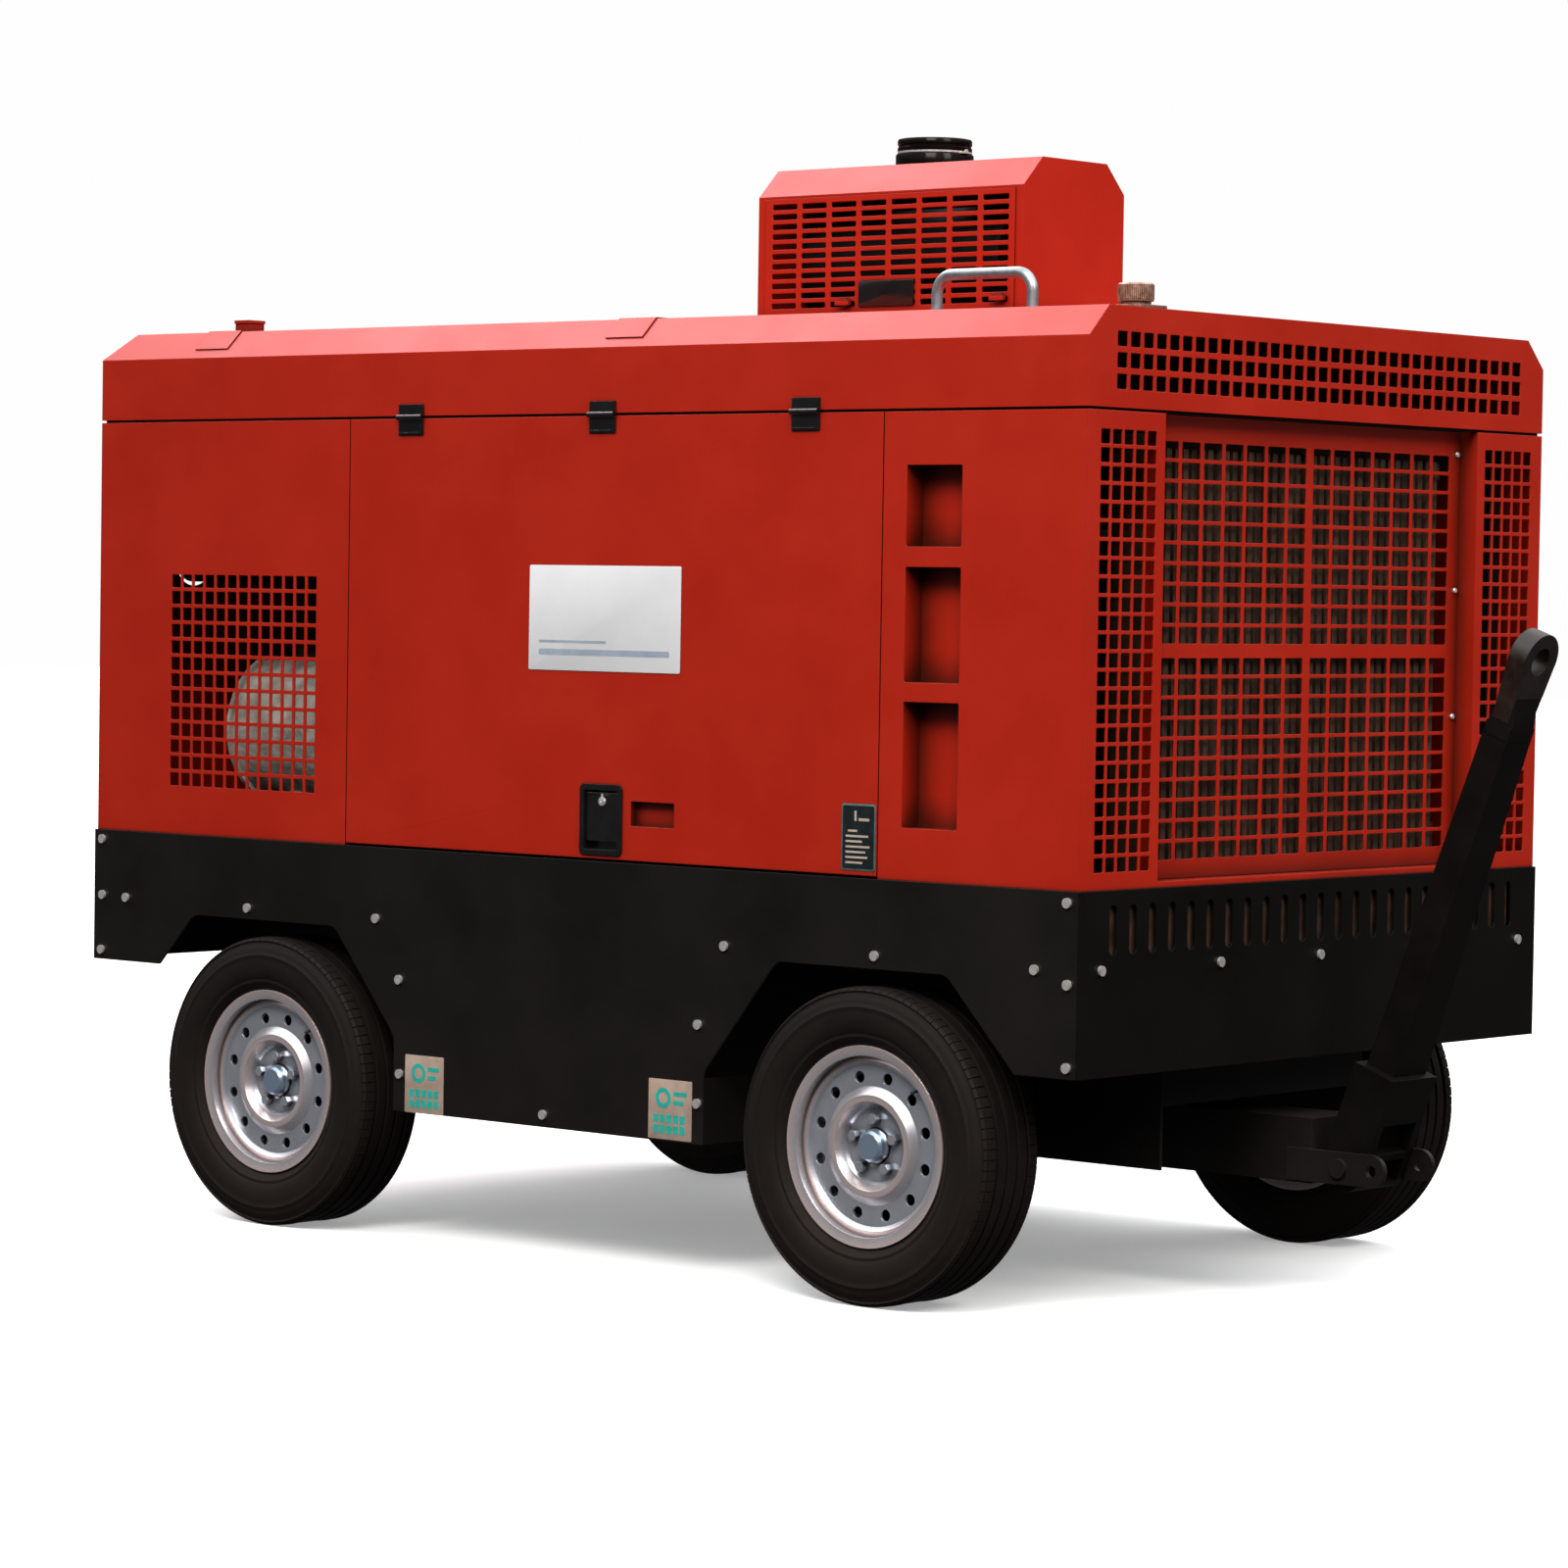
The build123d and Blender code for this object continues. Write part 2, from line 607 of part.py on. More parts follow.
def roof_solid(inset, front):
    """The roof's outer form, drawn in by an inset, up to the given front station."""
    drop = inset * math.tan(math.radians(22.5))
    half = side_y - inset
    shoulder = side_y - roof_chamfer - drop
    edge = roof_edge_z - drop
    top = roof_z - inset
    bottom = roof_bottom - inset
    outline = Polyline((-half, bottom), (-half, edge), (-shoulder, top), (shoulder, top), (half, edge),
                       (half, bottom), close=True)
    across = Plane(origin=(rear_x + inset, 0, 0), x_dir=(0, 1, 0), z_dir=(1, 0, 0))
    body = extrude(across.location * make_face(outline), amount=front - rear_x - inset)
    wedge = Polyline((rear_x + inset - 1, edge), (rear_x + inset, edge),
                     (rear_x + roof_rear_bevel + drop, top), (rear_x + roof_rear_bevel + drop, top + 10),
                     (rear_x + inset - 1, top + 10), close=True)
    upright = Plane(origin=(0, side_y + 1, 0), x_dir=(1, 0, 0), z_dir=(0, -1, 0))
    return body - extrude(upright.location * make_face(wedge), amount=2 * side_y + 2)


def roof_shell():
    """Folded roof cap: chamfered along both sides and at the rear, with a grid in its front."""
    shell = roof_solid(0, front_x - sheet) - roof_solid(sheet, front_x + 1)
    gable = [(-side_y, roof_bottom), (side_y, roof_bottom), (side_y, roof_edge_z),
             (side_y - roof_chamfer, roof_z), (-side_y + roof_chamfer, roof_z), (-side_y, roof_edge_z)]
    columns = 34
    span = side_y - 114.3
    hole = 35.0 * span / (columns - 1) / 22.9
    grid = hole_grid(steps(-span, span, columns), (2001, 2046, 2091), hole, 32.0, 4.0)
    shell += holed_sheet(front_face, gable, grid, sheet)
    for x, y, radius in ((collar_x, 0.0, 90.0), (filler_x, -filler_y, 34.0)):
        shell -= rod_z(x, y, roof_z - 20, roof_z + 1, radius)
    return shell


strap_width = 114.0
strap_x = (rear_x + 375.0, 202.0)


def roof_straps():
    """Raised bands over the roof's joints, folded down on to the chamfers."""
    bands = []
    lift = sheet
    reach = 46.0
    fall = reach * (roof_z - roof_edge_z) / roof_chamfer
    for x in strap_x:
        drop = lift * math.tan(math.radians(22.5))
        top = side_y - roof_chamfer
        corner = lift * math.sqrt(0.5)
        band = Polyline((-top - reach, roof_z - fall), (-top, roof_z), (top, roof_z), (top + reach, roof_z - fall),
                        (top + reach + corner, roof_z - fall + corner), (top + drop, roof_z + lift),
                        (-top - drop, roof_z + lift), (-top - reach - corner, roof_z - fall + corner),
                        close=True)
        across = Plane(origin=(x - strap_width / 2, 0, 0), x_dir=(0, 1, 0), z_dir=(1, 0, 0))
        piece = extrude(across.location * make_face(band), amount=strap_width)
        if x + strap_width / 2 > box_x0:
            piece -= block(box_x0 - 1, box_x1, -box_half - 1, box_half + 1, roof_z - 1, roof_z + lift + 1)
        bands.append(piece)
    return bands


def rear_side_panel():
    """Fixed left rear panel with its square-hole grille."""
    x0 = rear_x + sheet
    x1 = door_x0 - gap
    grid = hole_grid(steps(-1265, -785, 13), steps(1065, 1551, 13), 31.5, 31.5, 3.0)
    body = holed_sheet(left_face, rectangle(x0, x1, deck_z, panel_top), grid, sheet)
    return body + side_rim(x0, x1, deck_z, panel_top)


step_x0 = 1057.0
step_x1 = 1210.0
step_heights = ((1044.0, 1316.0), (1358.0, 1606.0), (1650.0, 1825.0))
step_depth = 62.0


def front_side_panel(with_steps):
    """Fixed left front panel, with the three foot pockets where it has them."""
    x0 = door_x1 + gap
    x1 = front_x - sheet
    holes = [opening(step_x0, step_x1, z0, z1) for z0, z1 in step_heights] if with_steps else []
    body = holed_sheet(left_face, rectangle(x0, x1, deck_z, panel_top), holes, sheet)
    body += side_rim(x0, x1, deck_z, panel_top)
    if with_steps:
        for z0, z1 in step_heights:
            body += pocket(step_x0, step_x1, z0, z1, step_depth)
    return body


def front_surround():
    """Front frame: two gridded posts, the sill and the folded sides of the grille's recess."""
    outline = [(-side_y, deck_z), (side_y, deck_z), (side_y, panel_top), (recess_half, panel_top),
               (recess_half, recess_bottom), (-recess_half, recess_bottom), (-recess_half, panel_top),
               (-side_y, panel_top)]
    rows = steps(984, 1885, 24)
    grid = []
    for side in (-1, 1):
        grid += hole_grid(steps(side * (side_y - 223), side * (side_y - 62), 5), rows, 32.0, 31.0, 3.0)
    body = holed_sheet(front_face, outline, grid, sheet)
    back = front_x - recess - sheet
    for side in (-1, 1):
        y0, y1 = sorted((side * recess_half, side * (recess_half + sheet)))
        body += block(back, front_x - sheet, y0, y1, recess_bottom - sheet, panel_top)
    body += block(back, front_x - sheet, -recess_half, recess_half, recess_bottom - sheet, recess_bottom)
    return body


row_pitch = 44.2
grille_rows = [start + row_pitch * i for start in (1003.0, 1468.2) for i in range(10)]
column_pitch = recess_half * 0.1317
column_bar = 13.0
first_column = 0.595 * column_pitch
grille_columns = [side * (first_column + column_pitch * i) for side in (-1, 1) for i in range(7)]


def front_grille():
    """Removable grille in the recess, in front of the coolers."""
    plane = Plane(origin=(front_x - recess, 0, 0), x_dir=(0, 1, 0), z_dir=(1, 0, 0))
    grid = hole_grid(grille_columns, grille_rows, column_pitch - column_bar, 36.0, 4.0)
    edge = 1.0
    outline = rectangle(-recess_half + edge, recess_half - edge, recess_bottom + edge, panel_top)
    return holed_sheet(plane, outline, grid, sheet)


panel_window = (side_y - 750.0, side_y - 270.0, 1340.0, 1760.0)
outlet_y = -0.23 * side_y
outlet_z = 1080.0
outlet_radius = 45.0
tail_y = 310.0 - side_y
tail_z = 1600.0
tail_radius = 50.0
grid_pitch = 40.0


def rear_panel():
    """Rear end panel: window for the controls, holes for the air outlet and the tail pipe, a grille."""
    y0, y1, z0, z1 = panel_window
    holes = [(-(y0 + y1) / 2, (z0 + z1) / 2, y1 - y0, z1 - z0, 6.0)]
    holes.append((-outlet_y, outlet_z, 2 * outlet_radius + 20, 2 * outlet_radius + 20, outlet_radius + 9.9))
    holes.append((-tail_y, tail_z, 2 * tail_radius + 20, 2 * tail_radius + 20, tail_radius + 9.9))
    first = 230 - side_y
    count = int((0.092 * side_y - first) / grid_pitch) + 1
    columns = [first + grid_pitch * i for i in range(count)]
    holes += hole_grid(columns, steps(1000, 1200, 6), 31.5, 31.5, 3.0)
    outline = rectangle(-side_y, side_y, deck_z, panel_top)
    return holed_sheet(rear_face, outline, holes, sheet)


# ---------------------------------------------------------------- doors
latch_x0 = 108.0
latch_x1 = 237.0
latch_z0 = 944.0
latch_z1 = 1105.0
latch_border = 9.0
latch_depth = 25.0
latch_proud = 4.0
pull_x0 = 263.0
pull_x1 = 395.0
pull_z0 = 1014.0
pull_z1 = 1070.0
pull_depth = 24.0
hinge_x = (-454.0, 160.0, 768.0)
hinge_half = 40.0
knuckle_radius = 7.0
hinge_pin_radius = 3.5
hinge_y = side_y + knuckle_radius
leaf = 3.0
leaf_low = 1901.0
leaf_high = 1973.0


def door():
    """Left door: folded tray hung from the seam, with a latch opening and a finger pull."""
    z0 = deck_z + 2 * gap
    hole_x0 = latch_x0 + latch_border - 1
    hole_x1 = latch_x1 - latch_border + 1
    hole_z0 = latch_z0 + latch_border - 1
    hole_z1 = latch_z1 - latch_border + 1
    holes = [opening(hole_x0, hole_x1, hole_z0, hole_z1, 1.0), opening(pull_x0, pull_x1, pull_z0, pull_z1, 2.0)]
    body = holed_sheet(left_face, rectangle(door_x0, door_x1, z0, panel_top), holes, sheet)
    body += side_rim(door_x0, door_x1, z0, panel_top)
    body += pocket(pull_x0, pull_x1, pull_z0, pull_z1, pull_depth)
    for x in (-300.0, 600.0):
        body += block(x, x + 60, -side_y + sheet, -side_y + panel_depth, z0 + sheet, panel_top - sheet)
        body -= block(x + sheet, x + 60 - sheet, -side_y + sheet, -side_y + panel_depth - sheet,
                      z0 + 2 * sheet, panel_top - 2 * sheet)
    return body


def latch_housing():
    """Paddle latch housing: a border on the door's face and a cup behind it."""
    y0 = -side_y - latch_proud
    y1 = -side_y + latch_depth
    body = block(latch_x0, latch_x1, y0, -side_y, latch_z0, latch_z1)
    corners = body.edges().filter_by(Axis.Y)
    body = fillet(corners, 12.0)
    edge = latch_border
    body += block(latch_x0 + edge, latch_x1 - edge, -side_y, y1, latch_z0 + edge, latch_z1 - edge)
    inner = edge + 4
    body -= block(latch_x0 + inner, latch_x1 - inner, y0 - 1, y1 - sheet, latch_z0 + inner, latch_z1 - inner)
    return body


def hinge_flap(x):
    """Moving leaf of a door hinge, with its middle knuckle."""
    third = hinge_half / 3
    body = block(x - hinge_half, x + hinge_half, -side_y - leaf, -side_y, leaf_low, seam_z - knuckle_radius + 0.8)
    body += block(x - third, x + third, -side_y - leaf, -side_y, leaf_low, seam_z)
    body += rod_x(x - third, x + third, -hinge_y, seam_z, knuckle_radius)
    body -= block(x - third - 1, x + third + 1, -side_y, -side_y + 2 * knuckle_radius, leaf_low, leaf_high)
    return body - rod_x(x - third - 1, x + third + 1, -hinge_y, seam_z, hinge_pin_radius + running)


def door_hardware():
    return [latch_housing()] + [hinge_flap(x) for x in hinge_x]


def fixed_leaf(x):
    """Fixed leaf on the roof's side, with its outer knuckles and the pin."""
    third = hinge_half / 3 + 0.5
    body = block(x - hinge_half, x + hinge_half, -side_y - leaf, -side_y, seam_z + knuckle_radius, leaf_high)
    for x0, x1 in ((x - hinge_half, x - third), (x + third, x + hinge_half)):
        body += block(x0, x1, -side_y - leaf, -side_y, seam_z + gap, leaf_high)
        body += rod_x(x0, x1, -hinge_y, seam_z, knuckle_radius)
    return body + rod_x(x - hinge_half, x + hinge_half, -hinge_y, seam_z, hinge_pin_radius)


def hinge_leaves():
    leaves = [fixed_leaf(x) for x in hinge_x]
    return leaves + [other_side(piece) for piece in leaves]


paddle_pivot_z = latch_z1 - latch_border - 12.0
paddle_sheet = 5.0
paddle_set_back = 3.0


def paddle():
    """Latch paddle, hinged along its top edge inside the housing."""
    side_gap = latch_border + 5.0
    y0 = -side_y + paddle_set_back
    y1 = y0 + paddle_sheet
    body = block(latch_x0 + side_gap, latch_x1 - side_gap, y0, y1, latch_z0 + side_gap + 18, paddle_pivot_z)
    body += rod_x(latch_x0 + side_gap, latch_x1 - side_gap, y0 + paddle_sheet / 2, paddle_pivot_z,
                  paddle_sheet / 2 + 1.5)
    return body


# ---------------------------------------------------------------- roof fittings
filler_x = front_x - 65.0
filler_y = side_y - 242.0
filler_plate = 8.0
vent_x = rear_x + 285.0
vent_y = 230.0 - side_y


def grab_handle():
    """Bent tube handle above the foot pockets, with a foot washer at each leg."""
    radius = handle_tube / 2
    top = roof_z + handle_height - radius
    bend = 42.0
    foot = 4.0
    path = FilletPolyline((handle_x0, -handle_y, roof_z + foot), (handle_x0, -handle_y, top),
                          (handle_x1, -handle_y, top), (handle_x1, -handle_y, roof_z + foot), radius=bend)
    start = Plane(origin=(handle_x0, -handle_y, roof_z + foot), z_dir=(0, 0, 1))
    body = sweep(start * Circle(radius), path=path)
    for x in (handle_x0, handle_x1):
        body += rod_z(x, -handle_y, roof_z, roof_z + foot, 22.0)
    return body


def filler_neck():
    """Coolant filler neck on its square flange."""
    body = block(filler_x - 50, filler_x + 50, -filler_y - 50, -filler_y + 50, roof_z, roof_z + filler_plate)
    body = fillet(body.edges().filter_by(Axis.Z), 8.0)
    body += rod_z(filler_x, -filler_y, roof_z - 18, roof_z + 30, 33.0)
    body += rod_z(filler_x, -filler_y, roof_z + 24, roof_z + 30, 37.0)
    return body - rod_z(filler_x, -filler_y, roof_z - 19, roof_z + 31, 26.0)


def coolant_cap():
    """Turned pressure cap with a plug inside the neck."""
    base = roof_z + 30.5
    body = rod_z(filler_x, -filler_y, base, base + 20, 40.0)
    body += rod_z(filler_x, -filler_y, base + 20, base + 25, 37.0)
    return body + rod_z(filler_x, -filler_y, base - 14, base, 25.0)


def roof_vent():
    """Small capped breather box on the roof."""
    body = block(vent_x - 25, vent_x + 25, vent_y - 25, vent_y + 25, roof_z, roof_z + 30)
    return body + block(vent_x - 27, vent_x + 27, vent_y - 27, vent_y + 27, roof_z + 30, roof_z + 38)


def box_solid(inset, bottom):
    drop = inset * math.tan(math.radians(22.5))
    half = box_half - inset
    shoulder = box_half - box_chamfer - drop
    edge = box_edge_z - drop
    top = box_top_z - inset
    outline = Polyline((-half, bottom), (-half, edge), (-shoulder, top), (shoulder, top), (half, edge),
                       (half, bottom), close=True)
    across = Plane(origin=(box_x0 + inset, 0, 0), x_dir=(0, 1, 0), z_dir=(1, 0, 0))
    return extrude(across.location * make_face(outline), amount=box_x1 - box_x0 - 2 * inset)


cover_x0 = 44.0
cover_x1 = 800.0
cover_z0 = 2182.0
cover_z1 = 2478.0
cover_sheet = 2.5
slot_columns = [104.5 + 91.4 * i for i in range(8)]
slot_rows = [2224.5 + 23.4 * i for i in range(11)]


def intake_box():
    """Raised air intake box on the roof, open behind its slotted cover."""
    body = box_solid(0, roof_z) - box_solid(sheet, roof_z - 1)
    border = 14.0
    body -= block(cover_x0 + border, cover_x1 - border, -box_half - 1, -box_half + sheet + 1,
                  cover_z0 + border, cover_z1 - border)
    return body - rod_z(collar_x, 0, box_top_z - 20, box_top_z + 1, collar_inner + 0.5)


def intake_cover():
    """Slotted cover plate on the left of the intake box."""
    plane = Plane(origin=(0, -box_half - cover_sheet, 0), x_dir=(1, 0, 0), z_dir=(0, -1, 0))
    grid = hole_grid(slot_columns, slot_rows, 76.0, 13.5, 4.0)
    return holed_sheet(plane, rectangle(cover_x0, cover_x1, cover_z0, cover_z1), grid, cover_sheet)


collar_inner = 84.0


def intake_collar():
    """Air inlet collar with its raised bead and clamp band."""
    body = rod_z(collar_x, 0, box_top_z - 40, box_top_z + collar_height, collar_inner)
    body += rod_z(collar_x, 0, box_top_z, box_top_z + 28, collar_radius)
    body += rod_z(collar_x, 0, box_top_z + 40, box_top_z + 58, collar_radius - 4)
    return body - rod_z(collar_x, 0, box_top_z - 41, box_top_z + collar_height + 1, collar_inner - 4)


latch_station = {"rear_wing_latch": 297.0, "front_wing_latch": 760.0}
wing_z = 2226.0


def wing_latch(x):
    """Quarter-turn wing latch at the cover's lower edge."""
    face = -box_half - cover_sheet
    wing_y = face - 0.3
    body = rod_y(x, wing_y - 7, wing_y, wing_z, 11.0)
    return body + block(x - 21, x + 21, wing_y - 15, wing_y - 5, wing_z - 5, wing_z + 5)


# ---------------------------------------------------------------- machinery
crank_z = 1290.0
cooler_x0 = front_x - 175.0
cooler_x1 = front_x - 77.0
cooler_half = recess_half - 40.0
fan_x = cooler_x0 - 70.0
fan_radius = 380.0
shroud_radius = 395.0


def cooler_pack():
    """Radiator and oil cooler side by side, each a core between two tanks."""
    parts = []
    for side in (-1, 1):
        y0, y1 = sorted((side * 6, side * cooler_half))
        parts.append(block(cooler_x0 + 10, cooler_x1 - 10, y0, y1, 1040, 1830))
        parts.append(block(cooler_x0, cooler_x1, y0, y1, deck_z + 20, 1040))
        parts.append(block(cooler_x0, cooler_x1, y0, y1, 1830, 1900))
    feet = block(cooler_x0 + 20, cooler_x1 - 20, -cooler_half, cooler_half, deck_z, deck_z + 20)
    return parts + [feet]


def fan_shroud():
    """Sheet shroud from the coolers to the fan ring."""
    body = block(cooler_x0 - 6, cooler_x0, -cooler_half, cooler_half, deck_z, 1900)
    body += rod_x(fan_x - 45, cooler_x0 - 6, 0, crank_z + 60, shroud_radius + 5)
    return body - rod_x(fan_x - 60, cooler_x0 + 1, 0, crank_z + 60, shroud_radius)


def fan():
    """Eight-bladed fan on its hub and shaft."""
    z = crank_z + 60
    body = rod_x(fan_x - 40, fan_x + 30, 0, z, 85.0)
    blade = block(-4, 4, 70, fan_radius, -55, 55)
    for i in range(8):
        turned_blade = Rot(45.0 * i, 0, 0) * Rot(0, 0, 0) * (Rot(0, 35, 0) * blade)
        body += Pos(fan_x - 5, 0, z) * turned_blade
    return body


engine_x0 = fan_x - 970.0
engine_x1 = fan_x - 110.0
bell_length = 110.0


def engine():
    """Six-cylinder diesel: sump, block, head, rocker cover, flywheel housing and feet."""
    x0, x1 = engine_x0, engine_x1
    sump = block(x0 + 40, x1 - 60, -170, 170, 985, 1110)
    main = block(x0, x1, -210, 210, 1110, 1500)
    head = block(x0 + 20, x1 - 20, -150, 150, 1500, 1620)
    cover = block(x0 + 40, x1 - 40, -95, 95, 1620, 1700)
    cover = fillet(cover.edges().group_by(Axis.Z)[-1], 20.0)
    flywheel = rod_x(x0 - bell_length, x0, 0, crank_z, 300.0)
    shaft = rod_x(x1, fan_x - 40.5, 0, crank_z + 60, 28.0)
    feet = []
    for x in (x0 + 60, x1 - 120):
        for side in (-1, 1):
            y0, y1 = sorted((side * 210, side * 300))
            feet.append(block(x, x + 80, y0, y1, deck_z, 1150))
    return [sump, main, head, cover, flywheel, shaft] + feet


def airend():
    """Screw compressor stage behind the flywheel housing."""
    x1 = engine_x0 - bell_length
    stage = rod_x(x1 - 640, x1 - 120, -60, crank_z, 235.0)
    bell = rod_x(x1 - 120, x1, 0, crank_z, 260.0)
    foot = block(x1 - 550, x1 - 350, -180, 60, deck_z, crank_z - 215)
    port = block(x1 - 580, x1 - 400, -140, 20, crank_z + 215, crank_z + 330)
    return stage + foot + port + bell


def separator_tank():
    """Upright air and oil receiver."""
    x, y = rear_x + 785.0, side_y - 570.0
    body = rod_z(x, y, deck_z + 60, 1700, 250.0)
    body = fillet(body.edges().filter_by(GeomType.CIRCLE), 60.0)
    body += rod_z(x, y, 1690, 1760, 150.0)
    for angle in (45, 135, 225, 315):
        fx = x + 170 * math.cos(math.radians(angle))
        fy = y + 170 * math.sin(math.radians(angle))
        body += rod_z(fx, fy, deck_z, 1100, 25.0)
    return body


def air_cleaner():
    """Dry air cleaner inside the raised box."""
    body = rod_x(110, 700, 0, 2330, 125.0)
    return body + rod_x(90, 110, 0, 2330, 135.0)


silencer_y = tail_y
silencer_z = 1190.0
silencer_radius = 180.0
silencer_x0 = rear_x + 350.0
silencer_x1 = rear_x + 1065.0


def silencer():
    """Exhaust silencer drum beside the rear grille, and its tail pipe out of the rear panel."""
    body = rod_x(silencer_x0, silencer_x1, silencer_y, silencer_z, silencer_radius)
    body += rod_x(silencer_x0 - 12, silencer_x0, silencer_y, silencer_z, silencer_radius + 12)
    for x in (silencer_x0 + 120, silencer_x1 - 160):
        body += block(x, x + 40, silencer_y - 100, silencer_y + 100, deck_z, silencer_z)
    tail_x = silencer_x0 + 90
    body += rod_z(tail_x, tail_y, silencer_z, tail_z, tail_radius)
    body += Pos(tail_x, tail_y, tail_z) * Sphere(tail_radius)
    body += rod_x(rear_x - skirt_sheet, tail_x, tail_y, tail_z, tail_radius)
    return body - rod_x(rear_x - skirt_sheet - 1, tail_x - 60, tail_y, tail_z, tail_radius - 3)


def battery():
    """Two starter batteries in a tray."""
    x0 = rear_x + 105.0
    y0, y1 = side_y - 370.0, side_y - 80.0
    tray = block(x0, x0 + 290, y0, y1, deck_z, deck_z + 8)
    cells = [block(x, x + 135, y0 + 5, y1 - 5, deck_z + 8, 1160) for x in (x0 + 5, x0 + 150)]
    return [tray] + cells


def control_panel():
    """Control cabinet behind the window in the rear panel."""
    y0, y1, z0, z1 = panel_window
    back = rear_x + 130.0
    face = block(rear_x + 25, rear_x + 29, y0 - 25, y1 + 25, z0 - 25, z1 + 25)
    case = block(rear_x + 29, back, y0 - 10, y1 + 10, z0 - 10, z1 + 10)
    return face + case


outlet_bore = 38.0
valve_x = rear_x + 150.0
outlet_end = rear_x - skirt_sheet


def outlet_valve():
    """Compressed air outlet pipe with a ball valve body; the thread opens at the rear."""
    body = rod_x(outlet_end, rear_x + 525, outlet_y, outlet_z, outlet_radius)
    body += rod_x(valve_x - 55, valve_x + 55, outlet_y, outlet_z, outlet_radius + 18)
    body += rod_z(valve_x, outlet_y, outlet_z, outlet_z + outlet_radius + 40, 14.0)
    return body - rod_x(outlet_end - 1, outlet_end + 60, outlet_y, outlet_z, outlet_bore)


def valve_lever():
    """Flat lever on the valve stem, lying across the pipe when the valve is shut."""
    base = outlet_z + outlet_radius + 40.3
    body = rod_z(valve_x, outlet_y, base, base + 10, 20.0)
    return body + block(valve_x - 14, valve_x + 14, outlet_y, outlet_y + 190, base + 2, base + 8)


# ---------------------------------------------------------------- assembly
nodes = {
    "chassis_frame": chassis_frame(),
    "deck_plate": deck_plate(),
    "fuel_tank": fuel_tank(),
    "side_skirts": [side_skirt(), other_side(side_skirt())],
    "front_skirt": front_skirt(),
    "rear_skirt": rear_skirt(),
    "skirt_bolts": skirt_bolts(),
    "axle_beams": [front_axle(), rear_axle()],
    "leaf_springs": leaf_springs(),
    "canopy_posts": canopy_posts(),
    "roof_shell": roof_shell(),
    "roof_straps": roof_straps(),
    "left_rear_panel": rear_side_panel(),
    "left_front_panel": front_side_panel(True),
    "right_side_panels": [other_side(rear_side_panel()), other_side(front_side_panel(False))],
    "front_surround": front_surround(),
    "front_grille": front_grille(),
    "rear_panel": rear_panel(),
    "hinge_leaves": hinge_leaves(),
    "grab_handle": grab_handle(),
    "intake_box": intake_box(),
    "intake_cover": intake_cover(),
    "intake_collar": intake_collar(),
    "filler_neck": filler_neck(),
    "coolant_cap": coolant_cap(),
    "roof_vent": roof_vent(),
    "engine": engine(),
    "fan": fan(),
    "fan_shroud": fan_shroud(),
    "cooler_pack": cooler_pack(),
    "airend": airend(),
    "separator_tank": separator_tank(),
    "air_cleaner": air_cleaner(),
    "silencer": silencer(),
    "battery": battery(),
    "control_panel": control_panel(),
    "outlet_valve": outlet_valve(),
    "valve_lever": valve_lever(),
    "left_door": door(),
    "left_door_hardware": door_hardware(),
    "left_paddle": paddle(),
    "right_door": other_side(door()),
    "right_door_hardware": [other_side(piece) for piece in door_hardware()],
    "right_paddle": other_side(paddle()),
    "steer_head": [steer_head(), drawbar_pin()],
    "left_knuckle": knuckle(-1),
    "right_knuckle": knuckle(1),
    "tie_rod": tie_rod(),
    "drawbar": drawbar(),
    "tow_eye": tow_eye(),
}
for name, x in latch_station.items():
    nodes[name] = wing_latch(x)
for name, x in (("front", front_axle_x), ("rear", rear_axle_x)):
    for side_name, side in (("left", -1), ("right", 1)):
        nodes[f"{name}_{side_name}_tyre"] = tyre(x, side)
        nodes[f"{name}_{side_name}_wheel"] = [rim(x, side), hub(x, side)] + wheel_nuts(x, side)

os.makedirs("parts", exist_ok=True)
shift = Location((-origin_x, 0, 0))
for name, shape in nodes.items():
    solids = []
    for piece in (shape if isinstance(shape, list) else [shape]):
        solids += piece.solids()
    placed = [solid.moved(shift) for solid in solids]
    export_step(placed[0] if len(placed) == 1 else Compound(children=placed), f"parts/{name}.step")
print("origin shift", round(origin_x, 2), "overall", round(overall_rear, 1), round(overall_front, 1))
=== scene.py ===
import math
import bmesh
import bpy
from mathutils import Matrix, Vector


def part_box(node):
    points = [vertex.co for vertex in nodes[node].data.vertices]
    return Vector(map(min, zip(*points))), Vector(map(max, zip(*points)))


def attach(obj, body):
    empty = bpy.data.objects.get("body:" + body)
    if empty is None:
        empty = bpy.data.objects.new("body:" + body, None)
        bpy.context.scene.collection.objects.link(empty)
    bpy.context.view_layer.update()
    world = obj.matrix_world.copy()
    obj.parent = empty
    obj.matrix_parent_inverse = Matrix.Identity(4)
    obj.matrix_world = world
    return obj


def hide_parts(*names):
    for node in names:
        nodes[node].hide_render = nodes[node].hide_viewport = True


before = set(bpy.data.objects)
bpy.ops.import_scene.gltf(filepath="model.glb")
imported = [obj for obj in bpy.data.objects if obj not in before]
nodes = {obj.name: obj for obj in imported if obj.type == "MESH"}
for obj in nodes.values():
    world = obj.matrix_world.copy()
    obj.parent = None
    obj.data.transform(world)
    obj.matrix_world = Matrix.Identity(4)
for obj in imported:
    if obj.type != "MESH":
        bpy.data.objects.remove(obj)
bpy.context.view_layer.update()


# ---------------------------------------------------------------- camera and studio
# A long lens at a standing person's eye height, off the left front corner, on a pale seamless floor.
# Large soft lamps overhead and beside the machine give even light with one gentle contact shadow.
low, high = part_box("roof_shell")
mid_x = (low.x + high.x) / 2


def at(x, y, z):
    """A place in metres from millimetres: forwards of the canopy's middle, to its right, above the ground."""
    return Vector((mid_x + x / 1000, y / 1000, z / 1000))


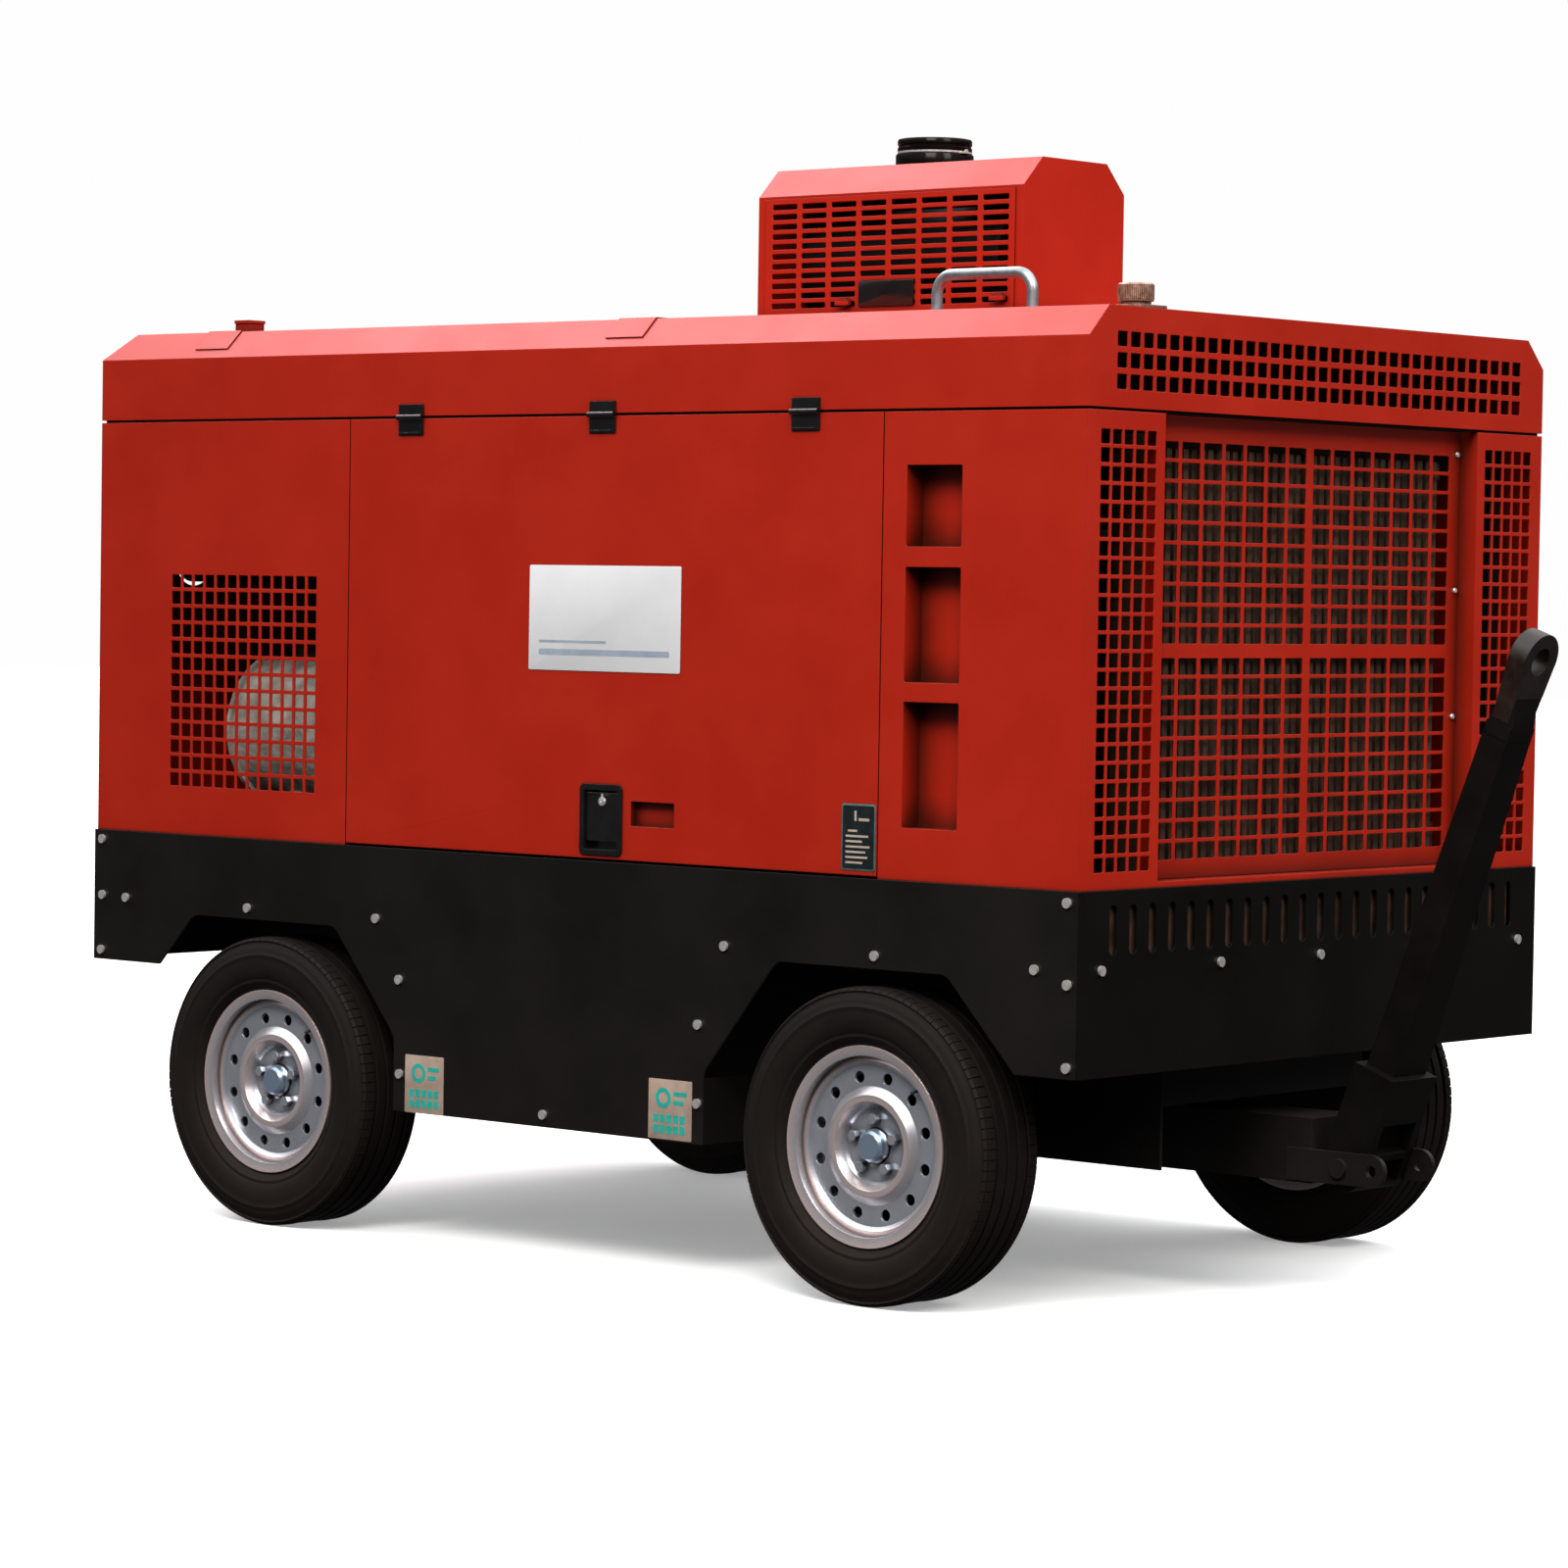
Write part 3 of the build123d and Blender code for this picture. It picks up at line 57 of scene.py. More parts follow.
def linear(shade):
    """An sRGB hex colour as linear red, green, blue and alpha."""
    parts = [int(shade[i:i + 2], 16) / 255 for i in (1, 3, 5)]
    return [p / 12.92 if p <= 0.04045 else ((p + 0.055) / 1.055) ** 2.4 for p in parts] + [1.0]


def add(tree, kind, inputs=None, **settings):
    """A node with its settings; an input is given a value, or a socket to link from."""
    made = tree.nodes.new(kind)
    for key, value in settings.items():
        setattr(made, key, value)
    for key, value in (inputs or {}).items():
        if isinstance(value, bpy.types.NodeSocket):
            tree.links.new(value, made.inputs[key])
        else:
            made.inputs[key].default_value = value
    return made


lens = bpy.data.cameras.new("camera")
camera = bpy.data.objects.new("camera", lens)
bpy.context.scene.collection.objects.link(camera)
yaw, pitch, roll = (math.radians(a) for a in (41.01, 2.21, 0.90))
ahead = Vector((-math.sin(yaw) * math.cos(pitch), math.cos(yaw) * math.cos(pitch), -math.sin(pitch)))
level = Vector((math.cos(yaw), math.sin(yaw), 0.0))
upward = level.cross(ahead)
right = level * math.cos(roll) + upward * math.sin(roll)
over = upward * math.cos(roll) - level * math.sin(roll)
turn = Matrix((right, over, -ahead)).transposed().to_4x4()
camera.matrix_world = Matrix.Translation(at(7977, -9215, 1553)) @ turn
lens.sensor_width = 36.0
lens.lens = 115.61
lens.clip_end = 200.0
bpy.context.scene.camera = camera
bpy.context.scene.view_settings.view_transform = "Standard"

world = bpy.data.worlds.new("studio")
bpy.context.scene.world = world
world.use_nodes = True
sky = world.node_tree
sky.nodes.clear()
facing = add(sky, "ShaderNodeSeparateXYZ", {"Vector": add(sky, "ShaderNodeTexCoord").outputs["Generated"]})
height = add(sky, "ShaderNodeValToRGB", {"Fac": facing.outputs["Z"]})
height.color_ramp.elements[0].position, height.color_ramp.elements[1].position = 0.25, 0.62
height.color_ramp.elements[0].color = (0.04, 0.04, 0.042, 1.0)
height.color_ramp.elements[1].color = (1.0, 1.0, 1.0, 1.0)
overhead = add(sky, "ShaderNodeBackground", {"Color": height.outputs["Color"], "Strength": 2.0})
backdrop = add(sky, "ShaderNodeBackground", {"Color": linear("#FEFEFE"), "Strength": 1.0})
seen = add(sky, "ShaderNodeLightPath")
both = add(sky, "ShaderNodeMixShader", {0: seen.outputs["Is Camera Ray"], 1: overhead.outputs[0],
                                        2: backdrop.outputs[0]})
add(sky, "ShaderNodeOutputWorld", {"Surface": both.outputs[0]})


def lamp(name, place, aim, width, depth, power, shade):
    """A soft box of a real size, aimed at a point."""
    data = bpy.data.lights.new(name, "AREA")
    data.shape = "RECTANGLE"
    data.size, data.size_y = width, depth
    data.energy = power
    data.color = linear(shade)[:3]
    made = bpy.data.objects.new(name, data)
    bpy.context.scene.collection.objects.link(made)
    made.location = place
    made.rotation_euler = (aim - place).to_track_quat("-Z", "Y").to_euler()


lamp("key_lamp", at(4500, -8000, 8500), at(300, 0, 1400), 5.0, 4.0, 900.0, "#FFFDF8")
lamp("front_lamp", at(8500, -1500, 7000), at(1500, 0, 1500), 3.0, 3.0, 330.0, "#FFFDF8")
lamp("ridge_lamp", at(-6500, 400, 9600), at(0, 0, 2200), 5.0, 4.0, 430.0, "#FFE4EC")


def surface(name, tones, patch_mm, rough, grain_mm=1.0, grain_depth_mm=0.02, metal=0.0, spread=0.06,
            dust=None, round_mm=0.0, coat=0.0, contrast=(0.35, 0.65), shine=0.5, crevice_shade=None):
    """A coated or bare surface: two tones in soft patches, a fine grain, settled dust by height, and painted
    shade, a darker tone in pockets of a given reach found by occlusion."""
    made = bpy.data.materials.new(name)
    made.use_nodes = True
    tree = made.node_tree
    tree.nodes.clear()
    place = add(tree, "ShaderNodeTexCoord").outputs["Object"]
    patches = add(tree, "ShaderNodeTexNoise", {"Vector": place, "Scale": 1000 / patch_mm, "Detail": 5.0,
                                               "Roughness": 0.6})
    ramp = add(tree, "ShaderNodeValToRGB", {"Fac": patches.outputs["Fac"]})
    ramp.color_ramp.elements[0].position, ramp.color_ramp.elements[1].position = contrast
    ramp.color_ramp.elements[0].color = linear(tones[0])
    ramp.color_ramp.elements[1].color = linear(tones[1])
    colour = ramp.outputs["Color"]
    if dust:
        shade, from_z, to_z, most = dust
        split = add(tree, "ShaderNodeSeparateXYZ", {"Vector": place})
        fall = add(tree, "ShaderNodeMapRange", {"Value": split.outputs["Z"], "From Min": from_z / 1000,
                                                "From Max": to_z / 1000, "To Min": most, "To Max": 0.0})
        specks = add(tree, "ShaderNodeTexNoise", {"Vector": place, "Scale": 1000 / (patch_mm * 0.3),
                                                  "Detail": 6.0, "Roughness": 0.7})
        amount = add(tree, "ShaderNodeMath", {0: fall.outputs[0], 1: specks.outputs["Fac"]},
                     operation="MULTIPLY", use_clamp=True)
        colour = mixed(tree, amount.outputs[0], colour, linear(shade))
    if crevice_shade:
        shade, reach_mm = crevice_shade
        # Occlusion darkens pockets and recesses: painted shade.
        openness = add(tree, "ShaderNodeAmbientOcclusion", {"Distance": reach_mm / 1000}, samples=6)
        shut = add(tree, "ShaderNodeMapRange", {"Value": openness.outputs["AO"], "From Min": 0.45,
                                                "From Max": 0.95, "To Min": 1.0, "To Max": 0.0})
        colour = mixed(tree, shut.outputs[0], colour, linear(shade))
    grain = add(tree, "ShaderNodeTexNoise", {"Vector": place, "Scale": 1000 / grain_mm, "Detail": 2.0})
    gloss = add(tree, "ShaderNodeMapRange", {"Value": patches.outputs["Fac"], "From Min": 0.3, "From Max": 0.7,
                                             "To Min": rough - spread, "To Max": rough + spread})
    bump = add(tree, "ShaderNodeBump", {"Height": grain.outputs["Fac"], "Strength": 1.0,
                                        "Distance": grain_depth_mm / 1000})
    if round_mm:
        edge = add(tree, "ShaderNodeBevel", {"Radius": round_mm / 1000}, samples=4)
        tree.links.new(edge.outputs[0], bump.inputs["Normal"])
    shader = add(tree, "ShaderNodeBsdfPrincipled", {"Base Color": colour, "Roughness": gloss.outputs[0],
                                                    "Normal": bump.outputs[0], "Metallic": metal,
                                                    "Coat Weight": coat, "Coat Roughness": 0.15,
                                                    "Specular IOR Level": shine})
    add(tree, "ShaderNodeOutputMaterial", {"Surface": shader.outputs[0]})
    return made


def mixed(tree, amount, first, second):
    """Two colours blended by an amount."""
    made = add(tree, "ShaderNodeMix", data_type="RGBA")
    for socket, value in ((made.inputs[0], amount), (made.inputs[6], first), (made.inputs[7], second)):
        if isinstance(value, bpy.types.NodeSocket):
            tree.links.new(value, socket)
        else:
            socket.default_value = value
    return made.outputs[2]


def dress(finish, *names):
    """Gives CAD nodes a finish in every slot they have."""
    for name in names:
        slots = nodes[name].data.materials
        if not slots:
            slots.append(finish)
        for i in range(len(slots)):
            slots[i] = finish


def piece(name, bm, finish, body, stands_for=(), angle=35.0):
    """Turns a bmesh into a named piece that rides on a body."""
    bmesh.ops.remove_doubles(bm, verts=bm.verts, dist=0.00002)
    bmesh.ops.recalc_face_normals(bm, faces=bm.faces)
    mesh = bpy.data.meshes.new(name)
    bm.to_mesh(mesh)
    bm.free()
    for face in mesh.polygons:
        face.use_smooth = True
    mesh.set_sharp_from_angle(angle=math.radians(angle))
    mesh.materials.append(finish)
    made = bpy.data.objects.new(name, mesh)
    bpy.context.scene.collection.objects.link(made)
    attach(made, body)
    if stands_for:
        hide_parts(*stands_for)
    return made


def floor_piece():
    """A level floor, far wider than the view."""
    bm = bmesh.new()
    bmesh.ops.create_grid(bm, x_segments=4, y_segments=4, size=60.0)
    mesh = bpy.data.meshes.new("studio_floor")
    bm.to_mesh(mesh)
    bm.free()
    made = bpy.data.objects.new("studio_floor", mesh)
    bpy.context.scene.collection.objects.link(made)
    paper = surface("floor_paper", ("#F4F5F6", "#F8F9FA"), 900, 0.85, 3.0, 0.05)
    shader = next(n for n in paper.node_tree.nodes if n.type == "BSDF_PRINCIPLED")
    shader.inputs["Specular IOR Level"].default_value = 0.0
    shader.inputs["Emission Color"].default_value = (1.0, 1.0, 1.0, 1.0)
    shader.inputs["Emission Strength"].default_value = 0.30
    mesh.materials.append(paper)
    made.visible_diffuse = False
    made.visible_glossy = False


floor_piece()


# ---------------------------------------------------------------- canopy sheet metal
# Folded and welded 3 mm steel sheet, powder coated red after assembly. The coat is satin with a faint
# orange peel, its tone wanders slightly from cleaning and handling, and folds are rounded by the coat.
# Pockets and recesses within 75 mm are darkened to a deep brown-red by an occlusion mask: painted shade.
red_coat = surface("red_powder_coat", ("#A01D0B", "#A8210D"), 260, 0.40, 2.2, 0.05, round_mm=2.5, spread=0.05,
                   shine=0.25, crevice_shade=("#3A0F04", 75))
dress(red_coat, "roof_shell", "roof_straps", "left_rear_panel", "left_front_panel", "right_side_panels",
      "front_surround", "front_grille", "rear_panel", "left_door", "right_door", "intake_box", "intake_cover",
      "roof_vent", "rear_wing_latch", "front_wing_latch")
bright_zinc = surface("bright_zinc", ("#E2DAD6", "#F4ECE8"), 12, 0.24, 0.6, 0.01, metal=0.7)


def joined(bm, part):
    """Adds one small mesh to the piece being made."""
    mesh = bpy.data.meshes.new("part")
    part.to_mesh(mesh)
    part.free()
    bm.from_mesh(mesh)
    bpy.data.meshes.remove(mesh)


def rounded(part, edges, radius, segments):
    """Rounds edges of a small mesh."""
    bmesh.ops.bevel(part, geom=edges, offset=radius / 1000, offset_type="OFFSET", segments=segments,
                    affect="EDGES", profile=0.5, material=-1)


def slab(bm, one, other, corner=0.0, axis=1, edge=0.0):
    """A block between two corners: a large round on the edges along one axis, then a small one on all."""
    part = bmesh.new()
    bmesh.ops.create_cube(part, size=1.0)
    size = Vector([abs(b - a) for a, b in zip(one, other)])
    bmesh.ops.scale(part, vec=size, verts=part.verts)
    bmesh.ops.translate(part, vec=(one + other) / 2, verts=part.verts)
    if corner:
        along = [e for e in part.edges if abs((e.verts[0].co - e.verts[1].co)[axis]) > 1e-7]
        rounded(part, along, corner, 6)
    if edge:
        sharp = [e for e in part.edges if e.calc_face_angle(0.0) > 0.7]
        rounded(part, sharp, edge, 2)
    joined(bm, part)


def turned(bm, outline, centre, axis, steps, closed=True, sweep=math.tau):
    """Spins an outline of (radius, distance along the axis) in millimetres round an axis."""
    axis = Vector(axis).normalized()
    out = axis.orthogonal().normalized()
    part = bmesh.new()
    ring = [part.verts.new(centre + out * r / 1000 + axis * a / 1000) for r, a in outline]
    following = ring[1:] + ring[:1] if closed else ring[1:]
    edges = [part.edges.new(pair) for pair in zip(ring, following)]
    bmesh.ops.spin(part, geom=ring + edges, cent=centre, axis=axis, angle=sweep, steps=steps,
                   use_merge=sweep == math.tau)
    bmesh.ops.remove_doubles(part, verts=part.verts, dist=0.00002)
    joined(bm, part)


def dome_screw(bm, place, axis, radius, height):
    """A button head with its drive hole, as a shape of a few dozen faces."""
    drive = height * 0.45
    outline = [(0, -0.5), (radius, -0.5), (radius, height * 0.3), (radius * 0.8, height * 0.78),
               (radius * 0.45, height), (radius * 0.38, height), (radius * 0.34, drive), (0, drive)]
    turned(bm, outline, place, axis, 10, closed=False)


# the grille panel in the front is held by screws down both its sides
front_face, side_face = 1545, 870
grille_depth, washer = 48, 1.5
bm = bmesh.new()
for y in (-585, 585):
    for z in (1888, 1575, 1284, 990):
        dome_screw(bm, at(front_face - grille_depth + washer, y, z), (1, 0, 0), 7, 5)
piece("front_panel_screws", bm, bright_zinc, "chassis")

# a rubber strip closes the seam between the panels and the roof cap all the way round
seam_rubber = surface("seam_rubber", ("#0A0908", "#100E0D"), 60, 0.7, 1.5, 0.04, shine=0.2)
seam_low, seam_high, strip = 1940.2, 1945.8, 12
strip_end, strip_side = front_face - 7, side_face - 8
bm = bmesh.new()
for side in (-1, 1):
    slab(bm, at(-strip_end, side * (strip_side - strip), seam_low), at(strip_end, side * strip_side, seam_high),
         edge=0.8)
    slab(bm, at(side * (strip_end - strip), strip - strip_side, seam_low),
         at(side * strip_end, strip_side - strip, seam_high), edge=0.8)
piece("roof_seam_strip", bm, seam_rubber, "chassis")

# ---------------------------------------------------------------- skirts
# 5 mm steel plate, satin black powder coat, with road dust near the wheels and bright dome-headed bolts.
black_skirt = surface("black_skirt_coat", ("#0E0C0A", "#14110E"), 300, 0.46, 1.8, 0.05,
                      dust=("#231E1A", 300, 760, 0.35), round_mm=2.5, shine=0.2)
dress(black_skirt, "side_skirts", "rear_skirt")
# The front skirt gets a darker copy of the black coat: painted shade on the front face.
front_skirt_shaded = surface("front_skirt_shaded_coat", ("#080706", "#0C0A09"), 300, 0.5, 1.8, 0.05,
                      dust=("#1A1613", 300, 760, 0.3), round_mm=2.5, shine=0.1)
dress(front_skirt_shaded, "front_skirt")
dress(bright_zinc, "skirt_bolts")

# two notice plates of beige anodised sheet on the left skirt's middle, printed with plain green blocks and a ring
beige = surface("beige_anodised_plate", ("#B59C8C", "#C4AC9C"), 40, 0.42, 1.0, 0.02, metal=0.3)
green = surface("green_print", ("#1E9E90", "#25AC9C"), 20, 0.5, 1.0, 0.0)
skirt_y, plate_y, print_y = -875.0, -876.5, -876.9      # skirt, face of a plate, face of its print
for name, x0, x1, z0, z1 in (("rear", -442, -315, 311, 447), ("front", 336, 467, 315, 450)):
    bm = bmesh.new()
    slab(bm, at(x0, skirt_y, z0), at(x1, plate_y, z1), corner=3, edge=0.4)
    piece(f"{name}_notice_plate", bm, beige, "chassis")
    bm = bmesh.new()
    turned(bm, [(13, 0.1), (13, -0.35), (23, -0.35), (23, 0.1)], at(x0 + 45, -876.6, z1 - 42), (0, 1, 0), 32)
    slab(bm, at(x0 + 76, plate_y, z1 - 36), at(x1 - 14, print_y, z1 - 26))
    slab(bm, at(x0 + 76, plate_y, z1 - 56), at(x1 - 24, print_y, z1 - 46))
    for row, tall in ((z0 + 38, 18), (z0 + 13, 19)):
        for i in range(5):
            slab(bm, at(x0 + 16 + 20 * i, plate_y, row), at(x0 + 31 + 20 * i, print_y, row + tall))
    piece(f"{name}_notice_print", bm, green, "chassis")

# ---------------------------------------------------------------- chassis and running gear
# Hot rolled sections welded up and brush painted black, dusty underneath. The towing bar is painted
# apart, and its eye is a painted forging.
chassis_paint = surface("chassis_enamel", ("#0C0A09", "#130F0D"), 160, 0.55, 2.5, 0.12,
                        dust=("#241D18", 200, 700, 0.4), round_mm=2.0, shine=0.25)
dress(chassis_paint, "chassis_frame", "axle_beams", "leaf_springs", "canopy_posts", "steer_head",
      "left_knuckle", "right_knuckle", "tie_rod", "deck_plate", "fuel_tank")
tow_paint = surface("drawbar_enamel", ("#090706", "#0E0B09"), 120, 0.5, 2.0, 0.10, round_mm=2.0, shine=0.12)
dress(tow_paint, "drawbar")
forged = surface("painted_forging", ("#130F0C", "#241C17"), 45, 0.40, 3.0, 0.18, round_mm=2.0, shine=0.45)
dress(forged, "tow_eye")

# a gusset joins each front cheek plate to its rail, above the axle
bm = bmesh.new()
for side in (-1, 1):
    slab(bm, at(1000, side * 386.5, 402), at(1056, side * 394, 619.5), corner=12, axis=1, edge=0.8)
piece("cheek_gussets", bm, chassis_paint, "chassis")

# ---------------------------------------------------------------- wheels
# Light-truck radials on pressed steel rims. The rim is silver enamel with painted pink-white highlights on its
# folds and painted shade in its creases, and the hub cap blue-white zinc. The moulded tyre has four grooves, a
# blocked shoulder and a dusty wall.
hub_z, wheel_y = 348, 800
hub_cap = 0.0345          # metres from the axle, as are the next two
tread_floor, tread_shoulder = 0.3375, (0.0570, 0.0880)


def wheel_enamel(name, x, side):
    """Silver enamel outside the hub cap, with painted pink-white highlights in rings on its folds and painted
    shade in its creases, and zinc on the cap, by distance from the axle.
    """
    made = surface(name, ("#BEC3CC", "#D0D3DC"), 140, 0.24, 0.9, 0.008, metal=0.75, round_mm=1.5, spread=0.03,
                   crevice_shade=("#4A484C", 22))
    tree = made.node_tree
    shader = next(n for n in tree.nodes if n.type == "BSDF_PRINCIPLED")
    place = next(n for n in tree.nodes if n.type == "TEX_COORD").outputs["Object"]
    axle = at(x, side * wheel_y, hub_z)
    centred = add(tree, "ShaderNodeMapping", {"Vector": place, "Location": (-axle.x, 0, -axle.z),
                                              "Scale": (1, 0, 1)})
    reach = add(tree, "ShaderNodeVectorMath", {0: centred.outputs[0]}, operation="LENGTH")
    is_hub = add(tree, "ShaderNodeMath", {0: reach.outputs["Value"], 1: hub_cap}, operation="LESS_THAN")
    silver = shader.inputs["Base Color"].links[0].from_socket
    share = add(tree, "ShaderNodeMath", {0: reach.outputs["Value"], 1: 4.4}, operation="MULTIPLY")
    rings = add(tree, "ShaderNodeValToRGB", {"Fac": share.outputs[0]})
    stops = rings.color_ramp.elements
    stops[0].position, stops[0].color = 0.36, (0.0, 0.0, 0.0, 1.0)
    stops[1].position, stops[1].color = 0.97, (1.0, 1.0, 1.0, 1.0)
    for position, tone in ((0.44, 0.9), (0.52, 0.3), (0.60, 0.0), (0.79, 0.0), (0.83, 0.9), (0.87, 0.2)):
        stops.new(position).color = (tone, tone, tone, 1.0)
    # The bright rings of the ramp are painted highlights on the rim's folds, pink-white.
    ring_highlights = mixed(tree, rings.outputs["Color"], silver, linear("#FFE9E4"))
    tree.links.new(mixed(tree, is_hub.outputs[0], ring_highlights, linear("#A3B9D0")), shader.inputs["Base Color"])
    return made


drum_iron = surface("brake_drum_iron", ("#15110F", "#1E1815"), 40, 0.7, 2.0, 0.1, shine=0.2)
rubber = surface("tyre_rubber", ("#100C0A", "#18120F"), 45, 0.72, 1.6, 0.07, contrast=(0.3, 0.75),
                 dust=("#2A1F19", 20, 700, 0.5), shine=0.15)
valve_rubber = surface("valve_stem_rubber", ("#141414", "#1C1B1B"), 10, 0.6, 1.0, 0.02)
wall_and_tread = [(206, 62), (206, 74), (214, 78), (224, 79), (230, 86), (236, 91), (240, 94.5), (244, 95),
                  (247, 94.5), (252, 97.5), (262, 100.5), (276, 102.2), (292, 102.4), (300, 101.6), (302, 102.4),
                  (306, 102.2), (308, 100.6), (317, 98), (322, 97), (327, 93.6), (336, 90), (343.5, 82),
                  (344.5, 57)]
for centre in (52, 17.5):
    wall_and_tread += [(347.6, centre + 5), (345, centre + 4.2), (339.5, centre + 3), (339.5, centre - 3),
                       (345, centre - 4.2), (347.6, centre - 5)]
mirrored = [(r, -a) for r, a in reversed(wall_and_tread)]
inside = [(220, -58), (262, -84), (320, -82), (332, -60), (332, 60), (320, 82), (262, 84), (220, 58)]
for axle, axle_x in (("front", 977), ("rear", -908)):
    for side_name, side in (("left", -1), ("right", 1)):
        body = f"{axle}_{side_name}_wheel"
        centre = at(axle_x, side * wheel_y, hub_z)
        dress(wheel_enamel(f"{body}_enamel", axle_x, side), body)
        bm = bmesh.new()
        turned(bm, wall_and_tread + mirrored + inside, centre, (0, side, 0), 96)
        bmesh.ops.recalc_face_normals(bm, faces=bm.faces)
        blocks = []
        for face in bm.faces:
            spot = face.calc_center_median() - centre
            if math.hypot(spot.x, spot.z) > tread_floor and tread_shoulder[0] < abs(spot.y) < tread_shoulder[1]:
                blocks.append(face)
        bmesh.ops.inset_individual(bm, faces=blocks, thickness=0.0016, depth=0.0045)
        piece(f"{body}_tyre", bm, rubber, body, stands_for=(f"{axle}_{side_name}_tyre",), angle=28)
        bm = bmesh.new()
        stem = centre + Vector((0.1335, side * 0.052, 0.1335))
        turned(bm, [(0, -1), (6, -1), (6, 4), (4, 8), (3.2, 18), (4, 19), (4, 26), (3, 28), (0, 28)], stem,
               (-0.30, side, -0.30), 14, closed=False)
        piece(f"{body}_valve_stem", bm, valve_rubber, body)
        bm = bmesh.new()
        turned(bm, [(78, 16), (160, 16), (165, 12), (165, -26), (160, -26), (160, 8), (78, 8)], centre,
               (0, side, 0), 48)
        piece(f"{body}_brake_drum", bm, drum_iron, body)
        bm = bmesh.new()
        turned(bm, [(219.5, 83.6), (213, 82.6), (210.5, 79.6), (206.5, 78.4), (204.5, 74.4), (200.5, 73),
                    (198.5, 68), (198.2, 62), (203, 62), (203, 75), (219.5, 78)], centre, (0, side, 0), 96)
        piece(f"{body}_bead_seat", bm, nodes[body].data.materials[0], body)

# ---------------------------------------------------------------- door fittings
# Hinges and paddle latches are gloss black zinc castings, fixed from behind. A bright lock barrel with a
# sliding cover sits over each paddle, and a cast lip stiffens the foot of each hinge flap.
gloss_black = surface("gloss_black_casting", ("#0B0B0C", "#121213"), 60, 0.22, 1.5, 0.02, coat=0.4, round_mm=1.2)
dress(gloss_black, "hinge_leaves", "left_door_hardware", "right_door_hardware", "left_paddle", "right_paddle")
leaf_y, lock_y = 872.8, 862.0      # face of a hinge leaf and of a paddle
for side_name, side in (("left", -1), ("right", 1)):
    bm = bmesh.new()
    for x in (-454, 160, 768):
        slab(bm, at(x - 38, side * leaf_y, 1903), at(x + 28, side * (leaf_y + 2.4), 1908), edge=0.8)
    piece(f"{side_name}_hinge_lips", bm, gloss_black, f"{side_name}_door")
    bm = bmesh.new()
    lock = at(172, side * lock_y, 1066)
    turned(bm, [(0, 0), (11, 0), (11, 6), (9.5, 8.5), (3, 9.5), (2.2, 8.0), (0, 8.0)], lock, (0, side, 0), 24,
           closed=False)
    slab(bm, at(168.5, side * lock_y, 1070), at(175.5, side * (lock_y + 7), 1084), corner=3.4, edge=0.6)
    piece(f"{side_name}_door_lock", bm, bright_zinc, f"{side_name}_paddle")

# ---------------------------------------------------------------- plates on the left side
# A blank enamelled sign plate with a plain grey rule, and a black rating plate in a green-grey border with
# rows of plain bars where its figures would be. Both are bonded to the door.
white_enamel = surface("white_enamel_plate", ("#D6D6D8", "#DCDCDE"), 160, 0.35, 1.0, 0.01)
rule_grey = surface("grey_print", ("#8E99A8", "#9AA5B3"), 40, 0.45, 1.0, 0.0)
bm = bmesh.new()
slab(bm, at(-62, -side_face, 1361), at(407, -871.6, 1601), corner=4, edge=0.5)
piece("sign_plate", bm, white_enamel, "left_door")
bm = bmesh.new()
slab(bm, at(-30, -871.6, 1396), at(375, -871.9, 1410), corner=5)
slab(bm, at(-30, -871.6, 1424), at(180, -871.9, 1430), corner=2)
piece("sign_plate_rule", bm, rule_grey, "left_door")
plate_black = surface("rating_plate_enamel", ("#10181A", "#162022"), 30, 0.35, 1.0, 0.01)
border_green = surface("rating_plate_border", ("#4E6E6C", "#5E7F7C"), 20, 0.4, 1.0, 0.01, metal=0.4)
print_beige = surface("rating_plate_print", ("#A8978A", "#B8A89A"), 20, 0.5, 1.0, 0.0)
bm = bmesh.new()
slab(bm, at(889, -side_face, 946), at(985.5, -871.2, 1091), corner=7, edge=0.4)
piece("rating_plate_border", bm, border_green, "left_door")
bm = bmesh.new()
slab(bm, at(893, -871.2, 950), at(981.5, -871.7, 1087), corner=4)
piece("rating_plate", bm, plate_black, "left_door")
bm = bmesh.new()
slab(bm, at(926, -871.7, 1054), at(932, -872.0, 1076))
slab(bm, at(938, -871.7, 1054), at(968, -872.0, 1060))
for i, (x0, x1) in enumerate(((908, 934), (902, 966), (902, 948), (902, 970), (902, 958), (902, 964), (902, 950))):
    slab(bm, at(x0, -871.7, 1030 - 11.5 * i), at(x1, -872.0, 1034.5 - 11.5 * i))
piece("rating_plate_bars", bm, print_beige, "left_door")

# ---------------------------------------------------------------- front cooler
# Upright flat tubes of the oil and water coolers, brazed aluminium gone brown with dust, just behind the grille.
cooler = surface("brazed_cooler", ("#32221A", "#4C382C"), 55, 0.6, 1.6, 0.25, metal=0.15,
                 shine=0.2)
dress(cooler, "cooler_pack")
bm = bmesh.new()
low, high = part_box("cooler_pack")
pitch, half_tube, end, proud = 0.030, 0.009, 0.03, 0.010
count = int((high.y - low.y - end) / pitch)
for i in range(count):
    y = (low.y + high.y) / 2 + (i - (count - 1) / 2) * pitch
    slab(bm, Vector((high.x, y - half_tube, low.z + end)), Vector((high.x + proud, y + half_tube, high.z - end)))
piece("cooler_tubes", bm, cooler, "chassis")
bm = bmesh.new()
slab(bm, at(1534, -770, 785), at(1538, 770, 918))
piece("skirt_dust_screen", bm, cooler, "chassis")

